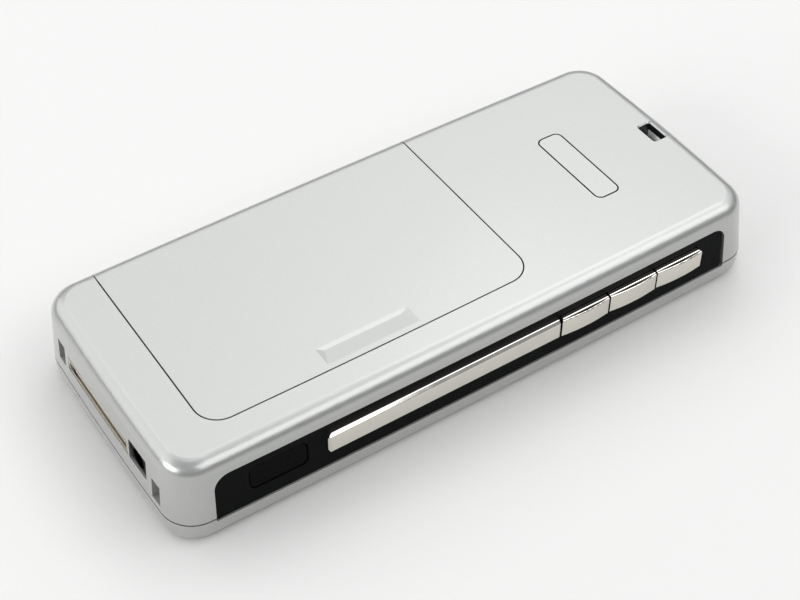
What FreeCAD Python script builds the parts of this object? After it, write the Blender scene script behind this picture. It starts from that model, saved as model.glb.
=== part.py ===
import FreeCAD, Part
import os

# Bar-shaped mobile phone, lying face down.
# Millimetres. +X runs to the earpiece end, -Y is the side with the keys, +Z is up through the back.
# The origin is the centre of the footprint, on the surface that the front frame rests on.
# Names that end in margin are distances from the edge or end that a piece is placed from.

# Casing, outside
phone_length = 116.2
phone_width = 49.2
phone_thickness = 16.9
side_bow = 0.45
end_bow = 0.46
earpiece_bow = 0.6
corner_radius = 5.8
back_edge_radius = 2.6
front_edge_radius = 2.4
wall_draft = 0.062
earpiece_draft = 0.125
seam_height = 4.5
seam_gap = 0.26

# Casing, walls
cover_wall = 1.2
frame_wall = 1.3
front_panel = 1.4
lip_thickness = 0.6
lip_height = 0.6
lip_gap = 0.15
lip_panel_gap = 1.0
fuse_depth = 0.2

# Aids: how far a cut runs past the material, and how near counts as the same place
beyond = 1.0
near_enough = 1e-3
slot_rounding = 0.49

# Battery door
door_end_margin = 10.3
door_length = 61.3
door_side_margin = 7.65
door_near_bow = 0.22
door_corner_radius = 4.2
door_gap = 0.26
skirt_above_seam = 3.1
tab_length = 6.0
tab_pitch = 19.6
tab_reach = 1.4
tab_root = 1.3
tab_thickness = 0.45
tab_gap = 0.15
grip_length = 17.4
grip_margin = 4.65
grip_step = 0.6
grip_ramp = 3.2
grip_depth = 0.42
grip_taper = 1.4

# Ledges in the door opening that carry the cover screws
ledge_width = 2.5
ledge_overlap = 1.2
ledge_thickness = 1.3
ledge_gap = 0.1
ledge_near_margin = 0.55
ledge_far_margin = 3.4

# Badge plate
badge_margin = 22.05
badge_width = 4.7
badge_length = 18.0
badge_radius = 1.2
badge_thickness = 0.5
badge_gap = 0.24
badge_bevel = 0.06

# Strap eyelet
eyelet_margin = 5.15
eyelet_width = 2.7
eyelet_length = 4.8
eyelet_radius = 0.45
eyelet_rim = 0.25
eyelet_depth = 3.7
bridge_thickness = 1.7
eyelet_wall = 1.2

# Side panel
panel_left_margin = 7.0
panel_right_margin = 7.5
panel_top_margin = 3.6
panel_left_lean = 0.051
panel_right_lean = 0.061
panel_corner = 2.7
panel_recess = 0.3
panel_thickness = 1.5
panel_gap = 0.1
panel_drop = 0.4
panel_tongue = 0.8
groove_width = 0.45
groove_depth = 0.7

# Infrared window
window_margin = 11.45
window_length = 10.0
window_above_seam = 4.7
window_height = 4.4
window_corner = 1.0
window_recess = 0.12
window_groove = 0.22
window_flange = 0.7
window_flange_thickness = 0.5

# Side trim bar and side keys share one height band
band_above_seam = 3.0
band_height = 3.96
band_bevel = 0.25
band_softening = 0.25
band_corner = 0.5
bar_margin = 19.9
bar_protrusion = 0.84
bar_chamfer = 0.5
bar_end_radius = 0.9
bar_end_bevel = 0.35
bar_end_gap = 0.41
peg_radius = 0.8
peg_gap = 0.05
peg_left_margin = 6.3
peg_right_margin = 6.9
peg_count = 3
peg_stand = 0.8
keys_end_margin = 6.15
side_key_length = 9.8
side_key_gap = 0.42
side_key_protrusion = 0.95
side_key_chamfer = 0.4
crown_height = 0.35
crown_inset = 0.15
crown_edge = 0.22
crown_root = 0.8
side_key_clearance = 0.12
side_flange = 0.5
side_flange_thickness = 0.6
side_key_travel = 0.35

# Side switches
switch_gap = 0.05
switch_stroke = 0.3
switch_size = 4.4
switch_height = 2.4
switch_body = 1.0
plunger_radius = 0.7
plunger_root = 0.1
flex_thickness = 0.2

# Power key on the earpiece end
power_key_y = 9.0
power_key_length = 9.0
power_above_seam = 5.3
power_key_height = 3.0
power_key_protrusion = 0.24
power_key_radius = 1.0
power_flange_thickness = 0.6
power_riser = 1.0

# Connector end
connector_length = 21.4
connector_above_seam = 3.4
connector_height = 3.0
connector_shell_gap = 0.2
connector_shell_wall = 0.4
connector_set_back = 0.25
connector_depth = 7.6
connector_body_gap = 1.2
tongue_thickness = 0.6
tongue_margin = 0.9
contact_count = 14
contact_width = 0.7
contact_pitch = 1.15
contact_height = 0.06
jack_margin = 13.1
jack_to_connector = 0.5
jack_width = 5.6
jack_above_seam = 5.7
jack_height = 4.3
jack_gap = 0.15
jack_set_back = 0.35
jack_depth = 8.0
jack_bore_radius = 1.85
jack_bore_depth = 6.5
recess_radius = 0.4
pocket_width = 2.5
pocket_height = 4.3
pocket_depth = 1.6
pocket_wall = 0.8
left_pocket_gap = 1.25
left_pocket_above_seam = 5.1
right_pocket_gap = 1.65
right_pocket_above_seam = 3.7

# Display window, in the front panel
glass_end_margin = 4.0
glass_side_margin = 4.1
keys_to_glass = 5.2
glass_radius = 3.0
glass_gap = 0.1
glass_face = 0.25
glass_thickness = 0.95
glass_bevel = 0.12
seat_thickness = 0.6
seat_border = 1.0
view_low_margin = 2.7
view_high_margin = 6.7
view_side_margin = 2.7
gasket_thickness = 0.3
gasket_width = 1.0
module_margin = 0.5
module_recess = 0.1
module_corner = 0.5
earpiece_margin = 3.1
earpiece_slot = 8.4
earpiece_slot_width = 1.4
earpiece_port = 6.4
earpiece_port_width = 0.7
earpiece_width = 4.6
earpiece_length = 10.0
earpiece_radius = 1.0
grille_gap = 0.1
grille_recess = 0.25
grille_hole_radius = 0.3
grille_hole_pitch = 1.0
grille_hole_count = 7

# Front keys
key_face = 0.3
key_travel = 0.35
key_clearance = 0.12
key_edge = 0.25
key_radius = 1.0
flange_gap = 0.15
flange_thickness = 0.5
flange_width = 0.4
post_radius = 1.2
keys_low_margin = 5.7
keys_side_margin = 7.0
number_gap_x = 1.3
number_gap_y = 1.4
number_size_x = 6.2
function_block_gap = 3.2
function_side_margin = 6.7
function_gap_x = 1.1
function_size_x = 5.0
ring_to_keys = 2.3
ring_size = 14.0
ring_radius = 3.0
ring_hole = 3.0
ring_flange_gap = 0.55
ring_flange = 0.4
ring_flange_thickness = 0.45
ring_post_distance = 5.0
ring_post_radius = 0.8
select_travel = 0.3
select_clearance = 0.2
select_flange_gap = 0.25
select_flange_thickness = 0.3
select_flange_radius = 3.5

# Keymat and dome sheet
keymat_gap = 0.1
keymat_thickness = 0.3
keymat_end_margin = 1.1
keymat_side_margin = 1.0
keymat_hole_gap = 0.5
rib_border = 0.1
rib_inset = 0.5
dome_gap = 0.6
dome_radius = 2.1
dome_top_radius = 1.05
dome_height = 0.3
film_thickness = 0.1

# Main board and shield cans
board_thickness = 1.0
board_inset = 2.2
board_hole_radius = 1.0
can_headroom = 1.3
can_wall = 0.2
can_corner = 0.5
can_low_gap = 0.5
can_high_gap = 2.0
can_width = 15.0
can_gap = 1.6

# Chassis
deck_thickness = 1.0
deck_left_margin = 0.4
deck_right_margin = 7.2
deck_far_margin = 5.2
deck_wide_margin = 3.2
chassis_wall = 1.0
bay_clearance = 0.3
bay_top_gap = 0.2
rail_rise = 1.54
column_radius = 1.6
ear_thickness = 1.0
ear_margin = 1.4
ear_half_width = 1.6

# Battery, contacts, cards
battery_left_gap = 2.0
battery_right_gap = 1.3
battery_near_gap = 2.95
battery_far_margin = 4.6
battery_top_gap = 0.3
battery_thickness = 5.5
battery_radius = 0.8
contact_block_length = 2.3
contact_block_width = 9.0
contact_block_height = 4.6
finger_width = 1.0
finger_reach = 0.25
finger_pitch = 3.0
sim_length = 25.0
sim_width = 15.0
sim_thickness = 0.76
memory_width = 18.0
memory_length = 24.0
memory_thickness = 1.4
card_corner = 3.0
card_gap = 0.2
card_slack = 0.05
holder_margin = 2.2
holder_wall = 1.0
holder_gap = 0.3
holder_spacing = 1.5
holder_top_gap = 0.1

# Antenna carrier, loudspeaker, vibra
carrier_low_gap = 1.85
carrier_high_gap = 1.5
carrier_near_gap = 0.9
carrier_far_gap = 1.0
carrier_top_gap = 0.5
carrier_wall = 1.0
carrier_corner = 1.5
antenna_thickness = 0.2
antenna_margin = 3.0
antenna_slot = 1.5
speaker_margin = 12.0
speaker_wall_gap = 2.4
speaker_radius = 6.5
speaker_height = 3.2
speaker_rim = 0.8
speaker_cone_depth = 1.0
speaker_cone_radius = 2.6
speaker_port_height = 4.0
slot_count = 5
slot_width = 1.0
slot_pitch = 2.2
slot_above_seam = 5.9
slot_height = 4.0
mesh_thickness = 0.3
mesh_margin = 0.8
vibra_side_gap = 6.5
vibra_end_gap = 5.5
vibra_radius = 1.7
vibra_length = 9.0
shaft_radius = 0.4
shaft_clearance = 0.05
shaft_depth = 3.5
shaft_room = 1.0
weight_radius = 2.0
weight_length = 3.6
weight_gap = 0.5
weight_floor_gap = 0.3
cradle_width = 4.4
cradle_rise = 1.4

# Microphone
microphone_margin = 3.3
microphone_y = 6.0
microphone_radius = 1.1
microphone_gap = 0.1
sound_hole_radius = 0.45

# Screws: the same size for the rear cover and for the front frame
screw_head_radius = 1.2
screw_head_height = 0.7
screw_radius = 0.65
screw_length = 4.2
screw_clearance = 0.05
screw_pass = 0.1
screw_sink = 0.05
socket_radius = 0.5
socket_depth = 0.35
cover_screw_near_margin = 3.15
cover_screw_far_margin = 6.1
frame_screw_left_margin = 7.6
frame_screw_right_gap = 1.0
frame_screw_side_margin = 4.0
boss_radius = 1.7

# Ends and sides of the casing
low_end = -phone_length / 2
high_end = phone_length / 2
near_side = -phone_width / 2
far_side = phone_width / 2
cover_bottom = seam_height + seam_gap
cover_inside = phone_thickness - cover_wall

# Battery door and ledges
door_left = low_end + door_end_margin
door_right = door_left + door_length
door_middle = (door_left + door_right) / 2
door_near_edge = near_side + door_side_margin
skirt_bottom = seam_height + skirt_above_seam
grip_edge = door_near_edge + grip_margin
ledge_near = door_near_edge + ledge_near_margin
ledge_far = far_side - ledge_far_margin
ledge_top = cover_inside - ledge_gap
ledge_bottom = ledge_top - ledge_thickness

# Back and side features
badge_centre_x = high_end - badge_margin
eyelet_centre_x = high_end - eyelet_margin
panel_left = low_end + panel_left_margin
panel_right = high_end - panel_right_margin
panel_top = phone_thickness - panel_top_margin
window_centre_x = panel_left + window_margin
window_centre_z = seam_height + window_above_seam
band_bottom = seam_height + band_above_seam
band_top = band_bottom + band_height
band_middle = (band_bottom + band_top) / 2
bar_left = panel_left + bar_margin
keys_length = 3 * side_key_length + 2 * side_key_gap
keys_right = panel_right - keys_end_margin
keys_left = keys_right - keys_length
bar_right = keys_left - bar_end_gap
peg_pitch = (bar_right - peg_right_margin - bar_left - peg_left_margin) / (peg_count - 1)
side_flange_y = (near_side + panel_recess + panel_thickness + flange_gap
                 + wall_draft * (band_top + side_flange - seam_height)
                 + side_bow * (keys_right / high_end) ** 2)
side_plunger_y = side_flange_y + side_flange_thickness + side_key_travel + switch_gap
power_wall_x = (high_end - earpiece_bow * (power_key_y / far_side) ** 2
                - earpiece_draft * power_above_seam)
power_flange_front = power_wall_x - cover_wall - flange_gap - earpiece_draft * power_key_height
power_flange_back = power_flange_front - power_flange_thickness
power_key_z = seam_height + power_above_seam
slot_z = seam_height + slot_above_seam

# Connector end
connector_bottom = seam_height + connector_above_seam
connector_top = connector_bottom + connector_height
connector_nose_x = low_end + wall_draft * connector_above_seam + connector_set_back
connector_root_x = connector_nose_x + connector_depth - 2 * connector_shell_wall
end_body_x = low_end + cover_wall + connector_body_gap
jack_centre_y = near_side + jack_margin
jack_centre_z = seam_height + jack_above_seam
jack_nose_x = low_end + wall_draft * jack_above_seam + jack_set_back
connector_centre_y = jack_centre_y + jack_width / 2 + jack_to_connector + connector_length / 2
left_pocket_y = connector_centre_y + connector_length / 2 + left_pocket_gap + pocket_width / 2
right_pocket_y = jack_centre_y - jack_width / 2 - right_pocket_gap - pocket_width / 2
left_pocket = (left_pocket_y, seam_height + left_pocket_above_seam)
right_pocket = (right_pocket_y, seam_height + right_pocket_above_seam)

# Key field and display window
number_last_x = low_end + keys_low_margin + number_size_x / 2
number_pitch_x = number_size_x + number_gap_x
number_first_x = number_last_x + 3 * number_pitch_x
number_size_y = (phone_width - 2 * keys_side_margin - 2 * number_gap_y) / 3
number_pitch_y = number_size_y + number_gap_y
function_pitch_x = function_size_x + function_gap_x
function_half_block = function_pitch_x + function_size_x / 2
function_centre_x = number_first_x + number_size_x / 2 + function_block_gap + function_half_block
function_low_y = ring_size / 2 + ring_to_keys
function_size_y = far_side - function_side_margin - function_low_y
function_y = function_low_y + function_size_y / 2
function_high_x = function_centre_x + function_half_block
glass_low_x = function_high_x + keys_to_glass
glass_high_x = high_end - glass_end_margin
glass_length = glass_high_x - glass_low_x
glass_width = phone_width - 2 * glass_side_margin
view_low_x = glass_low_x + view_low_margin
view_high_x = glass_high_x - view_high_margin
view_width = glass_width - 2 * view_side_margin
earpiece_x = glass_high_x - earpiece_margin
microphone_x = low_end + microphone_margin

# Heights, from the front panel up to the board
glass_seat = glass_face + glass_thickness
seat_inside = glass_seat + seat_thickness
flange_front = front_panel + flange_gap
flange_back = flange_front + flange_thickness
ring_flange_front = front_panel + ring_flange_gap
ring_flange_back = ring_flange_front + ring_flange_thickness
keymat_bottom = flange_back + key_travel + keymat_gap
keymat_top = keymat_bottom + keymat_thickness
dome_top = keymat_top + dome_gap
post_tip = dome_top - key_travel - switch_gap
board_bottom = dome_top + dome_height + film_thickness
board_top = board_bottom + board_thickness
film_bottom = board_bottom - film_thickness
keymat_low_x = number_last_x - number_size_x / 2 - keymat_end_margin
keymat_high_x = function_high_x + keymat_end_margin
keymat_half_width = far_side - min(keys_side_margin, function_side_margin) + keymat_side_margin

# Heights, from the back wall down to the chassis deck
deck_top = cover_inside - tab_gap - tab_thickness - battery_top_gap - battery_thickness
deck_bottom = deck_top - deck_thickness
bay_top = ledge_bottom - bay_top_gap
rail_top = band_top + rail_rise
holder_top = deck_top - holder_top_gap
carrier_top = cover_inside - carrier_top_gap
can_top = deck_bottom - can_headroom
vibra_z = deck_top + weight_floor_gap + weight_radius

# Chassis, battery and cards in plan
deck_left = door_left - deck_left_margin
deck_right = high_end - deck_right_margin
deck_near = side_plunger_y + switch_stroke + switch_body + flex_thickness
deck_far = far_side - deck_far_margin
deck_far_wide = far_side - deck_wide_margin
battery_low_x = door_left + ledge_width + battery_left_gap
battery_high_x = door_right - ledge_width - battery_right_gap
battery_low_y = door_near_edge + battery_near_gap
battery_high_y = far_side - battery_far_margin
battery_middle_y = (battery_low_y + battery_high_y) / 2
bay_low_x = battery_low_x - bay_clearance
bay_high_x = battery_high_x + finger_reach + contact_block_length + bay_clearance
bay_low_y = battery_low_y - bay_clearance
bay_high_y = battery_high_y + bay_clearance
sim_centre_x = battery_low_x + holder_margin + holder_wall + sim_length / 2
memory_centre_x = sim_centre_x + sim_length / 2 + 2 * holder_wall + holder_spacing + memory_width / 2

# Antenna carrier and what it covers, in plan
carrier_low_x = bay_high_x + chassis_wall + carrier_low_gap
carrier_high_x = deck_right - carrier_high_gap
carrier_low_y = deck_near + chassis_wall + carrier_near_gap
carrier_high_y = deck_far - carrier_far_gap
speaker_x = carrier_low_x + speaker_margin
speaker_y = carrier_high_y - carrier_wall - speaker_wall_gap - speaker_radius
vibra_y = carrier_low_y + carrier_wall + vibra_side_gap
vibra_high_x = carrier_high_x - carrier_wall - vibra_end_gap
vibra_low_x = vibra_high_x - vibra_length
can_low_x = carrier_low_x + can_low_gap
can_high_x = deck_right - chassis_wall - can_high_gap

# Screw places in plan
cover_screw_near_y = door_near_edge + cover_screw_near_margin
cover_screw_far_y = far_side - cover_screw_far_margin
frame_screw_left_x = low_end + frame_screw_left_margin
frame_screw_right_x = carrier_low_x + frame_screw_right_gap
frame_screw_y = far_side - frame_screw_side_margin

# Depth from the outer face at which a cut has passed the wall
wall_cut = 3 * cover_wall

number_names = ["key_1", "key_2", "key_3", "key_4", "key_5", "key_6",
                "key_7", "key_8", "key_9", "key_star", "key_0", "key_hash"]
function_names = ["soft_key_left", "menu_key", "call_key", "soft_key_right", "clear_key", "end_key"]
side_key_names = ["voice_key", "volume_down_key", "volume_up_key"]


# Small helpers

def vec(x, y, z):
    return FreeCAD.Vector(x, y, z)


UP = vec(0, 0, 1)
ALONG = vec(1, 0, 0)
ACROSS = vec(0, 1, 0)


def box(x_low, x_high, y_low, y_high, z_low, z_high):
    """Block between two corners."""
    return Part.makeBox(x_high - x_low, y_high - y_low, z_high - z_low, vec(x_low, y_low, z_low))


def rod(x, y, z, radius, length, direction=UP):
    """Round rod that starts at a point."""
    return Part.makeCylinder(radius, length, vec(x, y, z), direction)


def edges_along(shape, direction):
    """Straight edges that run in one direction."""
    chosen = []
    for edge in shape.Edges:
        if edge.Curve.TypeId != "Part::GeomLine":
            continue
        run = edge.Vertexes[-1].Point - edge.Vertexes[0].Point
        if abs(abs(run.dot(direction)) - run.Length) < near_enough:
            chosen.append(edge)
    return chosen


def edges_at(shape, axis, value):
    """Edges that lie in the plane where one coordinate has a value."""
    chosen = []
    for edge in shape.Edges:
        bound = edge.BoundBox
        low, high = {"x": (bound.XMin, bound.XMax), "y": (bound.YMin, bound.YMax),
                     "z": (bound.ZMin, bound.ZMax)}[axis]
        if abs(low - value) < near_enough and abs(high - value) < near_enough:
            chosen.append(edge)
    return chosen


def rounded_box(x_low, x_high, y_low, y_high, z_low, z_high, radius, direction=UP):
    """Block whose four edges along one direction are rounded."""
    block = box(x_low, x_high, y_low, y_high, z_low, z_high)
    return block.makeFillet(radius, edges_along(block, direction))


def plate(x, y, size_x, size_y, z_low, z_high, radius):
    """Block about a centre, with rounded upright corners."""
    return rounded_box(x - size_x / 2, x + size_x / 2, y - size_y / 2, y + size_y / 2,
                       z_low, z_high, radius)


def joined(shapes):
    """One solid from pieces that touch."""
    return shapes[0].multiFuse(shapes[1:]).removeSplitter()


def outline(inset, lean, z):
    """Casing outline at one height, drawn in by inset: four bowed sides that meet at corners.
    The earpiece end is drawn in by its own lean as well."""
    low = low_end + inset
    high = high_end - inset - lean
    half_width = phone_width / 2 - inset
    y = half_width - side_bow
    corners = [vec(low + end_bow, -y, z), vec(high - earpiece_bow, -y, z), vec(high - earpiece_bow, y, z),
               vec(low + end_bow, y, z)]
    middles = [vec(0, -half_width, z), vec(high, 0, z), vec(0, half_width, z), vec(low, 0, z)]
    sides = []
    for index in range(4):
        sides.append(Part.Arc(corners[index], middles[index], corners[(index + 1) % 4]).toShape())
    return Part.Wire(sides)


def casing_block(inset, z_low, z_high, drafted=False, top_radius=0.0, bottom_radius=0.0):
    """Solid with the casing's outline. Drafted walls lean in above the seam, most at the earpiece end."""
    outlines = []
    for z in (z_low, z_high):
        rise = z - seam_height if drafted else 0.0
        outlines.append(outline(inset + wall_draft * rise, (earpiece_draft - wall_draft) * rise, z))
    block = Part.makeLoft(outlines, True, True)
    uprights = [edge for edge in block.Edges if edge.BoundBox.ZLength > (z_high - z_low) / 2]
    block = block.makeFillet(corner_radius - inset, uprights)
    if top_radius:
        block = block.makeFillet(top_radius, edges_at(block, "z", z_high))
    if bottom_radius:
        block = block.makeFillet(bottom_radius, edges_at(block, "z", z_low))
    return block


def cover_skin(depth_out, depth_in, z_low, z_high):
    """Layer of the drafted rear wall between two depths below its outer face."""
    outer = casing_block(depth_out, z_low, z_high, True)
    inner = casing_block(depth_in, z_low - beyond, z_high + beyond, True)
    return outer.cut(inner)


# Screws

def screw_places():
    """Head seats: four screws hold the rear cover, four hold the front frame."""
    left = door_left + ledge_width / 2
    right = door_right - ledge_width / 2
    cover_seat = ledge_top - screw_sink - screw_head_height
    frame_seat = board_top + ear_thickness
    cover = [(x, y, cover_seat) for x in (left, right) for y in (cover_screw_near_y, cover_screw_far_y)]
    frame = [(x, y, frame_seat) for x in (frame_screw_left_x, frame_screw_right_x)
             for y in (-frame_screw_y, frame_screw_y)]
    return cover, frame


def case_screws():
    screws = []
    cover, frame = screw_places()
    for x, y, seat in cover + frame:
        head = rod(x, y, seat, screw_head_radius, screw_head_height)
        shank = rod(x, y, seat - screw_length, screw_radius, screw_length)
        socket = rod(x, y, seat + screw_head_height - socket_depth, socket_radius, socket_depth)
        screws.append(head.fuse(shank).removeSplitter().cut(socket))
    return Part.makeCompound(screws)


# Battery door and the opening for it

def door_prism(grow, z_low):
    """Plan of the door, grown by a gap, from z_low up. It runs off over the far long edge."""
    left = door_left - grow
    right = door_right + grow
    near = door_near_edge - grow
    far = phone_width
    edges = [
        Part.LineSegment(vec(left, far, z_low), vec(left, near, z_low)).toShape(),
        Part.Arc(vec(left, near, z_low), vec(door_middle, near - door_near_bow, z_low),
                 vec(right, near, z_low)).toShape(),
        Part.LineSegment(vec(right, near, z_low), vec(right, far, z_low)).toShape(),
        Part.LineSegment(vec(right, far, z_low), vec(left, far, z_low)).toShape(),
    ]
    prism = Part.Face(Part.Wire(edges)).extrude(UP * (2 * phone_thickness))
    corners = [edge for edge in edges_along(prism, UP) if edge.BoundBox.YMax < 0]
    return prism.makeFillet(door_corner_radius + grow, corners)


def thumb_grip():
    """Hollow cut out of the door: a ramp that sinks to a short sloping step, and tapers at both ends."""
    foot_y = grip_edge - grip_step
    foot_z = phone_thickness - grip_depth
    foot_half = grip_length / 2 - grip_taper
    grow = 1 + beyond / grip_depth
    top_half = foot_half + grip_taper * grow
    ramp_y = foot_y - grip_ramp * grow
    step_y = foot_y + grip_step * grow
    top_z = foot_z + grip_depth * grow
    feet = [vec(door_middle - foot_half, foot_y, foot_z), vec(door_middle + foot_half, foot_y, foot_z)]
    rim = [vec(door_middle - top_half, ramp_y, top_z), vec(door_middle + top_half, ramp_y, top_z),
           vec(door_middle + top_half, step_y, top_z), vec(door_middle - top_half, step_y, top_z)]
    faces = [rim, [rim[0], rim[1], feet[1], feet[0]], [rim[1], rim[2], feet[1]],
             [rim[2], rim[3], feet[0], feet[1]], [rim[3], rim[0], feet[0]]]
    sides = [Part.Face(Part.makePolygon(points + points[:1])) for points in faces]
    return Part.Solid(Part.Shell(sides))


def battery_door():
    outer = casing_block(0, cover_bottom, phone_thickness, True, back_edge_radius)
    inner = casing_block(cover_wall, cover_bottom - beyond, cover_inside, True,
                         back_edge_radius - cover_wall)
    door = outer.cut(inner).common(door_prism(0, skirt_bottom))
    door = door.cut(thumb_grip())
    tabs = []
    tab_top = cover_inside - tab_gap
    root_y = door_near_edge + door_gap
    for index in (-1, 0, 1):
        x = door_middle + index * tab_pitch
        tabs.append(box(x - tab_length / 2, x + tab_length / 2, door_near_edge - tab_reach,
                        root_y + tab_root, tab_top - tab_thickness, tab_top))
        tabs.append(box(x - tab_length / 2, x + tab_length / 2, root_y, root_y + tab_root,
                        tab_top, cover_inside))
    return joined([door] + tabs)


# Rear cover

def panel_prism(grow, z_low, depth):
    """Outline of the side panel seen from the side, grown by a gap, as a block through the wall."""
    top = panel_top + grow
    left_top = panel_left + panel_left_lean * (top - seam_height) - grow
    right_top = panel_right - panel_right_lean * (top - seam_height) + grow
    left_low = panel_left + panel_left_lean * (z_low - seam_height) - grow
    right_low = panel_right - panel_right_lean * (z_low - seam_height) + grow
    y = -phone_width
    points = [vec(left_low, y, z_low), vec(right_low, y, z_low), vec(right_top, y, top),
              vec(left_top, y, top), vec(left_low, y, z_low)]
    prism = Part.Face(Part.makePolygon(points)).extrude(ACROSS * (phone_width / 2 + depth))
    corners = [edge for edge in edges_along(prism, ACROSS) if edge.BoundBox.ZMin > z_low + grow]
    return prism.makeFillet(panel_corner + grow, corners)


def eyelet_cut():
    """Slot in the back that turns out through the end wall, under a bridge."""
    low = eyelet_centre_x - eyelet_width / 2
    high = eyelet_centre_x + eyelet_width / 2
    floor = phone_thickness - eyelet_depth
    slot = rounded_box(low, high, -eyelet_length / 2, eyelet_length / 2, floor,
                       phone_thickness + beyond, eyelet_radius)
    tunnel = box(eyelet_centre_x, phone_length, -eyelet_length / 2, eyelet_length / 2, floor,
                 phone_thickness - bridge_thickness)
    flare = plate(eyelet_centre_x, 0, eyelet_width + 2 * eyelet_rim, eyelet_length + 2 * eyelet_rim,
                  phone_thickness - eyelet_rim, phone_thickness + beyond, eyelet_radius + eyelet_rim)
    flare = flare.makeChamfer(eyelet_rim, edges_at(flare, "z", phone_thickness - eyelet_rim))
    return slot.multiFuse([tunnel, flare])


def eyelet_housing(inside):
    """Walls that close the eyelet off from the inside of the casing."""
    low = eyelet_centre_x - eyelet_width / 2 - eyelet_wall
    half = eyelet_length / 2 + eyelet_wall
    floor = phone_thickness - eyelet_depth - eyelet_wall
    return box(low, phone_length, -half, half, floor, phone_thickness).common(inside)


def pocket_block(place, grow, depth):
    """Block at a latch pocket of the connector end, as deep as asked from the outer face."""
    y, z = place
    half_y = pocket_width / 2 + grow
    half_z = pocket_height / 2 + grow
    return box(low_end, low_end + depth, y - half_y, y + half_y, z - half_z, z + half_z)


def end_recesses():
    """Openings of the connector end: system connector and charger jack."""
    x_low = low_end - beyond
    x_high = low_end + wall_cut
    half = connector_length / 2
    connector = rounded_box(x_low, x_high, connector_centre_y - half, connector_centre_y + half,
                            connector_bottom, connector_top, recess_radius, ALONG)
    jack = rounded_box(x_low, x_high, jack_centre_y - jack_width / 2, jack_centre_y + jack_width / 2,
                       jack_centre_z - jack_height / 2, jack_centre_z + jack_height / 2,
                       recess_radius, ALONG)
    return [connector, jack]


def speaker_slots():
    slots = []
    half = slot_width / 2
    for index in range(slot_count):
        x = speaker_x + (index - (slot_count - 1) / 2) * slot_pitch
        slots.append(rounded_box(x - half, x + half, far_side - wall_cut, phone_width,
                                 slot_z - slot_height / 2, slot_z + slot_height / 2,
                                 slot_width * slot_rounding, ACROSS))
    return slots


def power_key_hole():
    half_y = power_key_length / 2 + key_clearance
    half_z = power_key_height / 2 + key_clearance
    return rounded_box(high_end - wall_cut, phone_length, power_key_y - half_y, power_key_y + half_y,
                       power_key_z - half_z, power_key_z + half_z, power_key_radius + key_clearance, ALONG)


def cover_ledges():
    """Ledge at each end of the door opening, hung from the back wall, with holes for the screws."""
    left_out = door_left - ledge_overlap
    right_out = door_right + ledge_overlap
    ledges = [
        box(left_out, door_left + ledge_width, ledge_near, ledge_far, ledge_bottom, ledge_top),
        box(left_out, door_left - door_gap, ledge_near, ledge_far, ledge_top, cover_inside),
        box(door_right - ledge_width, right_out, ledge_near, ledge_far, ledge_bottom, ledge_top),
        box(door_right + door_gap, right_out, ledge_near, ledge_far, ledge_top, cover_inside),
    ]
    return ledges


def rear_cover():
    outer = casing_block(0, cover_bottom, phone_thickness, True, back_edge_radius)
    inner = casing_block(cover_wall, cover_bottom - beyond, cover_inside, True,
                         back_edge_radius - cover_wall)
    cover = outer.cut(inner)
    cover = cover.cut(door_prism(door_gap, skirt_bottom - door_gap))
    room = casing_block(cover_wall / 2, cover_bottom, cover_inside + cover_wall / 2, True)
    added = cover_ledges() + [eyelet_housing(room)]
    for place in (left_pocket, right_pocket):
        added.append(pocket_block(place, pocket_wall, pocket_depth + pocket_wall).common(room))
    cover = joined([cover] + added)
    cuts = [panel_prism(panel_gap, cover_bottom - beyond, wall_cut), eyelet_cut(), power_key_hole()]
    cuts += end_recesses() + speaker_slots()
    cuts += [pocket_block(place, 0, pocket_depth) for place in (left_pocket, right_pocket)]
    cuts.append(plate(badge_centre_x, 0, badge_width + 2 * badge_gap, badge_length + 2 * badge_gap,
                      phone_thickness - badge_thickness, phone_thickness + beyond, badge_radius + badge_gap))
    for x, y, seat in screw_places()[0]:
        cuts.append(rod(x, y, seat, screw_head_radius + screw_pass, screw_head_height + beyond))
        cuts.append(rod(x, y, ledge_bottom - beyond, screw_radius + screw_pass, ledge_thickness + beyond))
    return cover.cut(cuts)


def badge_plate():
    badge = plate(badge_centre_x, 0, badge_width, badge_length, phone_thickness - badge_thickness,
                  phone_thickness, badge_radius)
    return badge.makeChamfer(badge_bevel, edges_at(badge, "z", phone_thickness))


# Side panel, its window, the trim bar and the side keys

def outer_layer(block, depth, z_low, z_high):
    """What of a block lies within some depth of the casing's outer face."""
    return block.cut(casing_block(depth, z_low - beyond, z_high + beyond, True))


def end_groove():
    """Groove along the panel's end next to the keys."""
    low = seam_height - panel_drop
    rest = panel_prism(beyond, low - beyond, wall_cut)
    rest.translate(ALONG * -(beyond + groove_width))
    end_strip = panel_prism(0, low, wall_cut).cut(rest)
    return outer_layer(end_strip, panel_recess + groove_depth, low, panel_top)


def side_panel():
    """Panel with a thin tongue along its lower edge that stands in the front frame's rebate."""
    low = seam_height - panel_drop
    panel = cover_skin(panel_recess, panel_recess + panel_thickness, low, panel_top + beyond)
    panel = panel.common(panel_prism(0, low, wall_cut))
    behind_tongue = casing_block(panel_recess + panel_tongue, low - beyond, cover_bottom, True)
    slot = rounded_box(keys_left - side_key_clearance, keys_right + side_key_clearance, -phone_width, 0,
                       band_bottom - side_key_clearance, band_top + side_key_clearance,
                       band_corner + side_key_clearance, ACROSS)
    cuts = [behind_tongue, end_groove(), slot, window_prism(window_groove, -phone_width, 0)]
    for x in peg_places():
        cuts.append(rod(x, near_side - beyond, band_middle, peg_radius + peg_gap, wall_cut + beyond, ACROSS))
    return panel.cut(cuts)


def window_prism(grow, y_low, y_high):
    half_x = window_length / 2 + grow
    half_z = window_height / 2 + grow
    return rounded_box(window_centre_x - half_x, window_centre_x + half_x, y_low, y_high,
                       window_centre_z - half_z, window_centre_z + half_z, window_corner + grow, ACROSS)


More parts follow.
